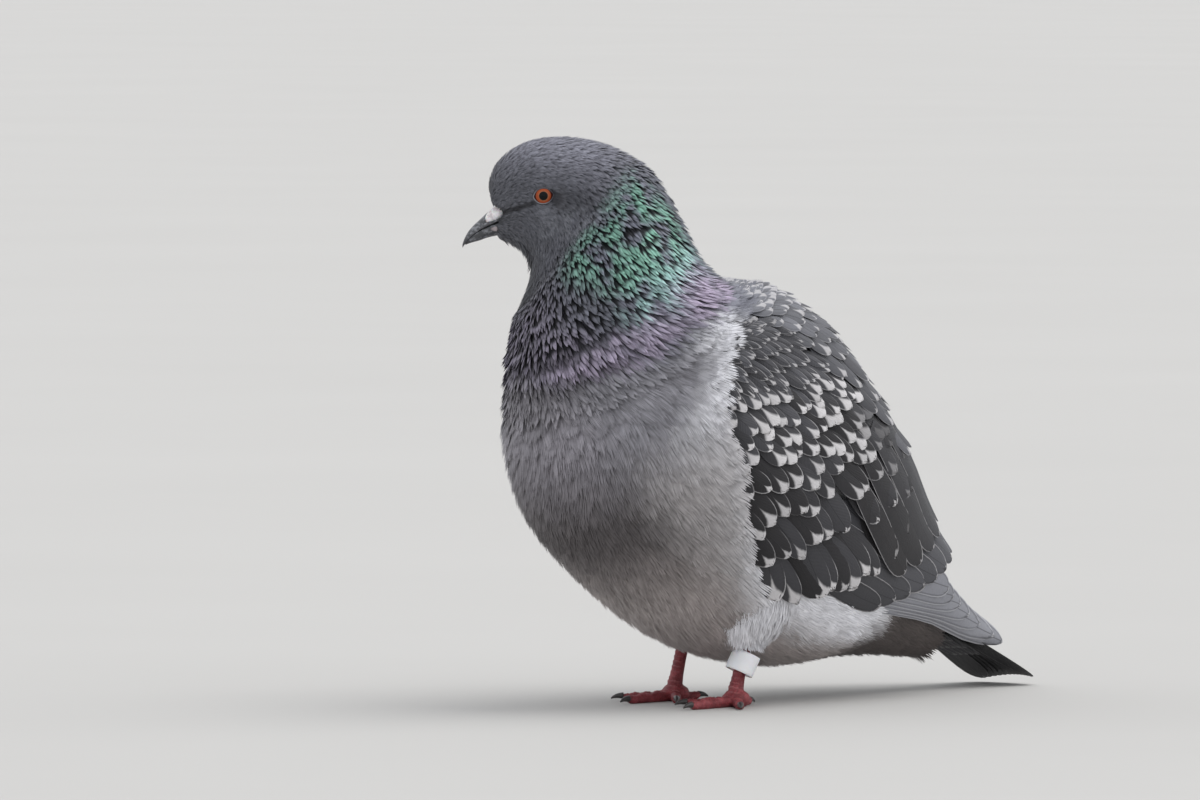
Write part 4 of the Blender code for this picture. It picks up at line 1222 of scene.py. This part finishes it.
def contour(roots, blade, seed, ruffle=0.0, roll=0.2, camber=0.3):
    """Feathers on the body's form, which end at the lids and the bill, and lie in the neck's folds."""
    rng = np.random.default_rng(seed + 50)
    length = by_rows(FEATHER_LENGTH, roots[:, 0]) * rng.uniform(0.85, 1.15, len(roots))
    heading = rng.normal(0, 7, len(roots))
    heading = heading + 6 * np.sin(roots[:, 0] * 3.1 + roots[:, 1] * 0.05) * (roots[:, 0] < 10)
    move = lie_step(BODY, roots, heading, length)
    share = clear_of_eye(roots, move)
    fits = (share > 0.3) & (past_margin(form_point(BODY, roots[:, 0], roots[:, 1])) < 0.8)
    roots, move, length = roots[fits], (move * share[:, None])[fits], (length * share)[fits]

    at, side = roots[:, 0], np.abs(roots[:, 1])
    half = by_rows(FEATHER_HALF, at)
    low = -by_rows(COAT_DEPTH, at) - 0.1
    high = 0.1 + ruffle * rng.uniform(0, 1, len(roots))
    fold = np.sin((at + 0.25) * FOLD_PITCH) * (side > 100) * (at > 7.3) * (at < 10)
    front = (side > 105) & (at > 8.2) & (at < 10.4)
    chin = (side > 150) & (at > 1.2) & (at < 3.6)
    high = high - 0.7 * fold
    high = high - 0.9 * np.clip((at - 9.1) / 0.6, 0, 1) * (half < 1.2)  # narrow hackles go under the body's
    high = high - 1.1 * front + chin * rng.uniform(-0.3, 1.3, len(roots))

    below = side - by_rows(WING_EDGE, at, 2)
    under_quills = (at > 13.4) & (below > -3) & (below < 16)
    high = high - under_quills * 2.0 * (1 - np.clip(below / 16, 0, 1))
    ends = roots + move
    onto_wing = in_wing(ends[:, 0], ends[:, 1], 1.0)
    move = move * np.where(onto_wing, 0.6, 1.0)[:, None]
    high = high + np.where(onto_wing & (ends[:, 0] < 13.4), 1.1, np.where(onto_wing, -2.0, 0.0))
    return lay(BODY, roots, move, length, half, blade, low, high, seed + 90,
               camber, curl=ruffle * 0.5, ragged=0.1, roll=roll)


def outside_wings(at, angle):
    return ~in_wing(at, angle, 0.5)


coat_piece("coat_head", [
    contour(ranks((0.0, 6.3), 1), hair_blade, 1, roll=0.1, camber=0.12)
], coat_paint)
coat_piece("coat_neck", [
    contour(ranks((6.0, 9.75), 2), hackle_blade, 2, ruffle=0.45, roll=0.35)
], coat_paint)
for side_name, angles, seed in (("left", (0, 180), 3), ("right", (-180, 0), 4)):
    roots = scatter(BODY, (9.35, 15.6), angles, body_gap, seed, outside_wings)
    feathers = contour(roots, fluff_blade, seed, ruffle=0.5)
    coat_piece(f"coat_body_{side_name}", [feathers], coat_paint)

# The thighs' loose feathers hang over the ring. Their form is a cone, given as the body's rows are.
THIGH = np.array([
    (0.0, back, high, front, high, wide) for back, front, high, wide in (
        (-71.0, -27.0, 55.0, 19.0), (-69.5, -26.0, 45.0, 19.5), (-66.0, -27.0, 36.0, 17.5),
        (-60.0, -29.5, 29.0, 13.5), (-53.5, -33.0, 24.5, 8.8), (-49.0, -36.0, 21.0, 6.2),
    )
])
THIGH_SHORTENS = ((0, 1.1), (2, 0.95), (3, 0.68), (4, 0.45))  # the feathers' length down the thigh
THIGH_LIE = 13.1  # its feathers have the body's colours of this station, inside and outside by angle


def thigh_gap(at):
    return np.full(len(at), 2.3)


thighs = []
for side, offset in ((1, (19.8, 0.0, 0.0)), (-1, (-19.8, 8.0, 0.0))):
    roots = scatter(THIGH, (0.3, 4.0), (-180, 180), thigh_gap, 60 + side)
    rng = np.random.default_rng(70 + side)
    length = rng.uniform(11, 17, len(roots)) * by_rows(THIGH_SHORTENS, roots[:, 0])
    move = lie_step(THIGH, roots, rng.normal(0, 9, len(roots)), length)
    outer = roots[:, 1] * side > 0
    for chosen, angle in ((outer, 126.0), (~outer, 152.0)):
        high = rng.uniform(0.2, 1.2, chosen.sum())
        thighs.append(lay(THIGH, roots[chosen], move[chosen], length[chosen], 3.0, fluff_blade, -2.4, high,
                          80 + side, camber=0.3, curl=0.5, ragged=0.12, roll=0.3,
                          offset=offset, lie=(THIGH_LIE, angle)))
rump = contour(scatter(BODY, (15.3, 17.5), (-180, 180), body_gap, 5), fluff_blade, 5, ruffle=0.5)
coat_piece("coat_rump_and_vent", [rump, *thighs], coat_paint)


# ---- Wings -----------------------------------------------------------------------------------
# Folded wings of stiff vanes rooted in the wing's skin. Rows of coverts overlap like roof tiles,
# narrow at the bend, then broader with white wedges at their tips. Under them come dark tertials
# and secondaries with thin pale edges, and the blue grey primaries, stacked to the wing's tip.

covert_levels = (0.0, 0.22, 0.42, 0.58, 0.7, 0.8, 0.88, 0.94, 0.98, 1.0)
round_outline = (0.16, 0.7, 0.94, 1.0, 0.98, 0.9, 0.76, 0.56, 0.32, 0.04)
lance_outline = (0.16, 0.7, 0.95, 1.0, 0.93, 0.8, 0.62, 0.42, 0.22, 0.03)
quill_levels = (0.0, 0.15, 0.3, 0.45, 0.58, 0.7, 0.8, 0.88, 0.93, 0.965, 0.99, 1.0)
quill_outline = (0.6, 0.8, 0.92, 0.98, 1.0, 1.0, 0.96, 0.86, 0.72, 0.54, 0.28, 0.04)
round_blade = vane_blade(12, covert_levels, round_outline)
lance_blade = vane_blade(8, covert_levels, lance_outline)
quill_blade = vane_blade(14, quill_levels, quill_outline)


def vane_paint(name, pale, deep, tip_white):
    """Barbed vanes between two tones, whitish in a ragged wedge at the tip and a thin line on the edge,
    with a thin painted shadow line just inside that edge.
    """
    vane = Finish(name, Specular_IOR_Level=0.35)
    along, shade, rim = (vane.reads(key) for key in ("along", "shade", "rim"))
    fine = vane.noise(900.0, 2.0)
    coarse = vane.noise(260.0, 3.0)
    colour = vane.blend(vane.reads("dark"), pale, deep)
    wave = (vane.reads("along_mm") * 9.0 - vane.reads("across_mm").size() * 7.0).sine()  # barbs
    colour = vane.scaled(colour, 0.72 + 0.28 * shade + 0.26 * fine + 0.06 * wave)
    from_tip = vane.reads("from_tip") * (0.34 + 1.5 * vane.reads("line"))
    from_tip = from_tip + 0.9 * (coarse - 0.5) + 0.6 * (fine - 0.5)
    tip = 1 - vane.rise(from_tip / vane.reads("fringe"), 0.5, 1.0)
    edge = (1 - vane.rise(rim + 0.3 * (fine - 0.5), 0.12, 0.42)) * vane.reads("edge")
    edge = edge * vane.rise(along - vane.reads("begins"), 0.0, 0.25)
    # A thin painted shadow line runs just inside each vane's pale edge, as where the next feather overlaps
    # it.
    groove = vane.band(rim + 0.2 * (fine - 0.5), 0.4, 0.55, 0.75, 1.3) * vane.reads("edge")
    colour = vane.blend(groove * 0.45, colour, (0.02, 0.02, 0.023))
    colour = vane.blend(tip.or_more(edge) * vane.reads("white"), colour, tip_white)
    shaft = 1 - vane.rise(vane.reads("across_mm").size(), 0.1, 0.28)
    colour = vane.blend(shaft * (1 - tip) * 0.5, colour, (0.015, 0.015, 0.017))
    return vane.shows(
        Base_Color=colour,
        Roughness=0.5 + 0.15 * fine,
        Normal=vane.bump(0.6 * wave + 0.6 * shaft + fine, 0.3, 0.00025),
    )


wing_paint = vane_paint("flight_feathers", (0.26, 0.265, 0.3), (0.0185, 0.017, 0.019), (0.68, 0.66, 0.67))
primary_paint = vane_paint("primaries", (0.36, 0.365, 0.405), (0.026, 0.0245, 0.027), (0.6, 0.6, 0.62))


def tag(one, **values):
    """Gives a set of feathers the same marks for the paint: one value each, or one for all."""
    count = len(one["points"])
    for key, value in values.items():
        value = np.atleast_1d(np.asarray(value, float))
        one["marks"][key] = np.repeat(value, count // len(value))
    return one


# Rows of coverts from the bend down. Each gives the line of its tips, as station and angle from the
# front edge back to the scapulars; number, length and half width of its feathers; their heading at
# the front and at the back; darkness; the white wedge's length and whiteness; blade; and height.
COVERT_ROWS = (
    (((10.10, 64), (10.60, 57)), 9, 8.5, 1.6, -6, -6, 0.7, 1.2, 0.55, lance_blade, -0.3),
    (((10.35, 75), (10.98, 56)), 11, 9.5, 1.7, -6, -8, 0.76, 1.2, 0.55, lance_blade, -0.2),
    (((10.60, 84), (11.32, 55)), 13, 11.0, 1.8, -6, -8, 0.8, 1.1, 0.6, lance_blade, -0.1),
    (((10.80, 90), (11.66, 55)), 15, 12.5, 1.9, -6, -8, 0.83, 1.1, 0.6, lance_blade, 0.0),
    (((11.00, 96), (11.96, 55)), 16, 13.5, 2.0, -6, -8, 0.85, 1.1, 0.65, lance_blade, 0.1),
    (((11.20, 99), (12.24, 55)), 16, 14.0, 2.2, -6, -8, 0.87, 1.5, 0.75, lance_blade, 0.2),
    (((11.42, 101), (12.50, 55)), 14, 14.5, 2.9, -6, -6, 0.9, 3.2, 0.9, round_blade, 0.3),
    (((11.64, 103), (12.72, 54)), 13, 15.0, 3.5, -8, -6, 0.93, 3.8, 0.95, round_blade, 0.35),
    (((11.88, 105), (12.95, 54)), 13, 16.0, 3.8, -8, -6, 0.95, 3.8, 1.0, round_blade, 0.4),
    (((12.14, 108), (13.22, 53)), 13, 17.0, 4.1, -6, -5, 0.97, 3.2, 0.95, round_blade, 0.4),
    (((12.42, 112), (13.52, 52)), 12, 18.5, 4.5, -4, -4, 1.0, 2.6, 0.85, round_blade, 0.4),
    (((12.78, 119), (13.14, 93), (13.88, 50)), 11, 22.0, 4.9, 2, -3, 1.0, 2.8, 0.85, round_blade, 0.3),
    (((13.18, 127), (13.54, 97), (14.28, 50)), 11, 26.0, 5.2, 8, 0, 1.0, 2.6, 0.85, round_blade, 0.15),
    (((13.60, 133), (13.97, 118), (14.26, 108), (14.42, 93), (14.66, 62)),
     12, 31.0, 5.6, 24, 2, 1.0, 4.0, 0.95, round_blade, 0.0),
)
COVERTS_STAND, COVERTS_TUCK = (-3.0, 0.6), 1.8  # their roots and tips over the row's height, in millimetres


def covert_rows(side, seed):
    laid = []
    for number, row in enumerate(COVERT_ROWS):
        line, count, length, half, front, back, dark, fringe, white, blade, height = row
        rng = np.random.default_rng(seed + number)
        keys = np.linspace(0, 1, len(line))
        share = (np.arange(count) + 0.5 * (number % 2) + 0.15) / (count - 0.2)
        share = share + rng.uniform(-0.35, 0.35, count) / count
        tips = np.stack([np.interp(share, keys, along) for along in zip(*line)], -1)
        tips[:, 0] += rng.uniform(-0.11, 0.11, count)
        tips[:, 1] *= side
        heading = front + (back - front) * share + rng.normal(0, 4, count)
        long = length * rng.uniform(0.93, 1.07, count)
        back_move = lie_step(WING, tips, heading, -long)
        one = lay(WING, tips + back_move, -back_move, long, half * rng.uniform(0.85, 1.12, count), blade,
                  height + COVERTS_STAND[0], height + COVERTS_STAND[1], seed + 40 + number,
                  camber=0.45, ragged=0.03, roll=0.16, lean=0.38, tuck=COVERTS_TUCK)
        dim = 0.85 * (number > 7) * np.clip((share - 0.74) / 0.16, 0, 1)  # no white beside the tertials
        laid.append(tag(
            one,
            dark=np.minimum(dark + rng.uniform(-0.12, 0.06, count), 1),
            white=white * rng.uniform(0.8, 1.05, count) * (1 - dim),
            fringe=fringe * rng.uniform(0.3, 1.35, count),
            edge=rng.uniform(0.05, 0.6, count),
            begins=0.55,
        ))
    return laid


# Scapulars and mantle in rows across the back: station of the tips, first and last angle, number,
# length, half width and darkness
SCAPULAR_ROWS = (
    (10.2, 2, 40, 11, 8.5, 2.3, 0.1), (10.45, 0, 48, 12, 9.5, 2.4, 0.15),
    (10.72, 2, 52, 12, 10.5, 2.6, 0.25), (11.0, 0, 55, 12, 12.0, 2.8, 0.4),
    (11.3, 3, 56, 11, 14.0, 3.1, 0.5), (11.6, 2, 56, 11, 15.5, 3.4, 0.6),
    (11.92, 6, 55, 9, 17.0, 3.8, 0.64), (12.25, 5, 54, 9, 18.0, 4.1, 0.66),
    (12.6, 8, 53, 8, 19.0, 4.4, 0.7), (13.0, 8, 52, 7, 20.5, 4.8, 0.72),
    (13.4, 9, 50, 6, 22.0, 5.2, 0.72), (13.85, 9, 46, 5, 23.0, 5.6, 0.72),
)


def scapulars(side, seed):
    laid = []
    for number, (tip, first, last, count, length, half, dark) in enumerate(SCAPULAR_ROWS):
        rng = np.random.default_rng(seed + number)
        share = (np.arange(count) + 0.5 * (number % 2)) / (count - 0.5)
        tips = np.stack([tip + rng.uniform(-0.08, 0.08, count), first + (last - first) * share], -1)
        tips[:, 1] = np.maximum(tips[:, 1] + rng.uniform(-1, 1, count), 0.5) * side
        long = length * rng.uniform(0.9, 1.1, count)
        back_move = lie_step(WING, tips, rng.normal(0, 4, count), -long)
        wide = half * rng.uniform(0.85, 1.1, count)
        one = lay(WING, tips + back_move, -back_move, long, wide, round_blade,
                  -1.6, rng.uniform(0.8, 1.9, count), seed + 40 + number,
                  camber=0.55, ragged=0.03, roll=0.3, lean=-0.2)
        laid.append(tag(
            one,
            dark=dark + rng.uniform(-0.1, 0.15, count),
            fringe=2.0 * rng.uniform(0.2, 1.4, count),
            white=0.6, begins=0.6, edge=0.35,
        ))
    return laid


# Root and tip as station and angle, half width, darkness, height over the form at root and tip
TERTIALS = (
    ((13.2, 78), (15.0, 86), 5.8, 1.0, -0.4, 0.7), ((13.1, 68), (15.2, 76), 6.0, 0.98, -0.3, 0.85),
    ((13.0, 58), (15.35, 64), 6.2, 0.95, -0.2, 1.0), ((12.9, 48), (15.45, 52), 6.4, 0.92, -0.1, 1.15),
    ((12.8, 38), (15.45, 40), 6.6, 0.9, 0.0, 1.3), ((12.8, 28), (15.3, 28), 6.8, 0.88, 0.1, 1.45),
    ((12.9, 18), (15.0, 17), 6.6, 0.86, 0.2, 1.6),
)
SECONDARIES = (
    ((13.4, 112), (15.05, 107), 5.0, 0.86, -4.2, 0.2), ((13.4, 107), (15.22, 101), 5.2, 0.84, -4.1, 0.3),
    ((13.4, 101), (15.42, 94), 5.4, 0.82, -4.0, 0.4), ((13.4, 94), (15.62, 86), 5.6, 0.8, -3.9, 0.5),
    ((13.4, 86), (15.82, 77), 5.8, 0.8, -3.8, 0.6), ((13.5, 76), (16.0, 66), 6.0, 0.78, -3.7, 0.7),
    ((13.5, 64), (16.15, 54), 6.2, 0.78, -3.6, 0.8), ((13.6, 50), (16.25, 42), 6.2, 0.76, -3.5, 0.9),
)
PRIMARIES = (
    ((14.0, 113), (18.95, 97), 4.6, 0.1, -4.4, -0.2), ((14.0, 110), (18.55, 94), 4.8, 0.12, -4.3, 0.0),
    ((14.0, 107), (18.05, 91), 5.0, 0.16, -4.2, 0.2), ((14.0, 104), (17.55, 88), 5.2, 0.2, -4.1, 0.35),
    ((14.0, 101), (17.1, 85), 5.4, 0.26, -4.0, 0.5), ((14.0, 97), (16.7, 82), 5.6, 0.32, -3.9, 0.65),
    ((14.0, 93), (16.35, 78), 5.8, 0.4, -3.8, 0.8),
)


def quills(side, table, seed, fringe, white):
    laid = []
    for number, (root, tip, half, dark, low, high) in enumerate(table):
        start = np.array([[root[0], root[1] * side]])
        move = np.array([[tip[0] - root[0], (tip[1] - root[1]) * side]])
        end = start + move
        reach = form_point(WING, end[:, 0], end[:, 1]) - form_point(WING, start[:, 0], start[:, 1])
        long = np.linalg.norm(reach, axis=1)
        one = lay(WING, start, move, long, half, quill_blade, low, high, seed + number,
                  camber=0.25, ragged=0.01, roll=0.05)
        laid.append(tag(one, dark=dark, fringe=fringe, white=white, begins=0.0, edge=0.8))
    return laid


for side_name, side in SIDES:
    wing = f"wing_{side_name}"
    coverts = coat_piece(f"{wing}_covert_rows", covert_rows(side, 300), wing_paint)
    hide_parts(f"{wing}_coverts")
    coat_piece(f"scapulars_{side_name}", scapulars(side, 500), wing_paint)
    inner = quills(side, TERTIALS, 600, 0.7, 0.5) + quills(side, SECONDARIES, 640, 0.6, 0.5)
    inner_quills = coat_piece(f"{wing}_quills_inner", inner, wing_paint)
    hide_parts(f"{wing}_secondaries")
    outer = quills(side, PRIMARIES, 680, 0.6, 0.6)
    outer_quills = coat_piece(f"{wing}_quills_outer", outer, primary_paint)
    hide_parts(f"{wing}_primaries")


# ---- Tail ------------------------------------------------------------------------------------
# Twelve stiff tail feathers closed into one narrow fan, nearly black with thin paler edges, the
# middle pair on top. Softer coverts lie on their roots, grey above and darker below.

TAIL_ROOT, TAIL_TIP = np.array([0.0, 102.0, 35.6]), np.array([0.0, 167.0, 3.1])
TAIL_ARCH, TAIL_ROLL = 1.0, 0.07  # how far its sides hang, and how it tips to one side
TAIL_PATCH = 0.002
tail_along = (TAIL_TIP - TAIL_ROOT) / np.linalg.norm(TAIL_TIP - TAIL_ROOT)
tail_out = np.cross([1.0, 0.0, 0.0], tail_along)
tail_length = np.linalg.norm(TAIL_TIP - TAIL_ROOT)


def tail_feather(side_from, side_to, begin, end, half, height, dark, fringe, white, blade, seed):
    """One feather of the tail's fan: its place across at root and end, its ends along, its height."""
    rng = np.random.default_rng(seed)
    u, v = blade["along"], blade["across"]
    d = begin + (end - begin) * u
    x = side_from + (side_to - side_from) * u + v * half * (0.7 + 0.3 * u)
    z = height - TAIL_ARCH * (x / 12) ** 2 * np.clip(d / tail_length, 0, 1) - 0.35 * v * v
    z = z + rng.uniform(-0.1, 0.1) * v
    turned_x = x * math.cos(TAIL_ROLL) - z * math.sin(TAIL_ROLL)
    turned_z = x * math.sin(TAIL_ROLL) + z * math.cos(TAIL_ROLL)
    sideways = turned_x[:, None] * np.array([1.0, 0, 0])
    points = TAIL_ROOT + d[:, None] * tail_along + sideways + turned_z[:, None] * tail_out
    line, wide = rim_line(blade)
    from_tip = (1 - u) * (end - begin)
    root = np.array([[(side_from * 3 + 200) / 400, 0.972 + 0.0005 * height]])  # in its own strip of the map
    return tag({
        "points": points,
        "faces": blade["faces"],
        "marks": {
            "along": u, "rim": np.minimum(from_tip, (1 - line) * wide * half),
            "shade": np.full(len(u), rng.uniform(0, 1)), "line": line, "from_tip": from_tip,
            "along_mm": u * (end - begin), "across_mm": v * half,
        },
        "root": np.repeat(root, len(u), axis=0),
        "patch": np.stack([v / 2, u - 0.5], -1),
    }, dark=dark, fringe=fringe, white=white, begins=0.1, edge=0.8)


tail_paint = vane_paint("tail_feathers", (0.2, 0.205, 0.23), (0.012, 0.011, 0.011), (0.3, 0.29, 0.29))
tail_feathers = []
for k in range(6):  # pairs from the middle out; the outermost has a paler edge
    fringe, white = (0.9, 0.5) if k == 5 else (0.4, 0.15)
    for side in (1, -1):
        tail_feathers.append(tail_feather(
            side * (0.5 + 0.75 * k), side * (1.0 + 2.1 * k), 6.0, tail_length - 0.35 * k,
            5.6, -0.2 * k, 0.9, fringe, white, quill_blade, k,
        ))
tail = coat_piece("tail_quills", tail_feathers, tail_paint, TAIL_PATCH)
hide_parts("tail")

# Rows of tail coverts: where they begin and end along the tail, their spread and number
TAIL_COVERTS = ((4, 22, 9, 7), (10, 31, 8.5, 6), (15, 40, 7, 5))
over, under = [], []
for row, (begin, end, spread, count) in enumerate(TAIL_COVERTS):
    for n in range(count):
        x = spread * (2 * (n + 0.5) / count - 1)
        over.append(tail_feather(
            x * 0.8, x, begin - 6, end, 3.6, 1.9 - 0.4 * row, 0.12, 0.6, 0.3, round_blade, 20 + n,
        ))
        x = x + 0.7
        under.append(tail_feather(
            x * 0.8, x, begin - 2, end + 6, 3.8, -6.4 + 1.3 * row, 0.8, 1.2, 0.35, round_blade, 40 + n,
        ))
coat_piece("tail_coverts_over", over, tail_paint, TAIL_PATCH)
coat_piece("tail_coverts_under", under, tail_paint, TAIL_PATCH)
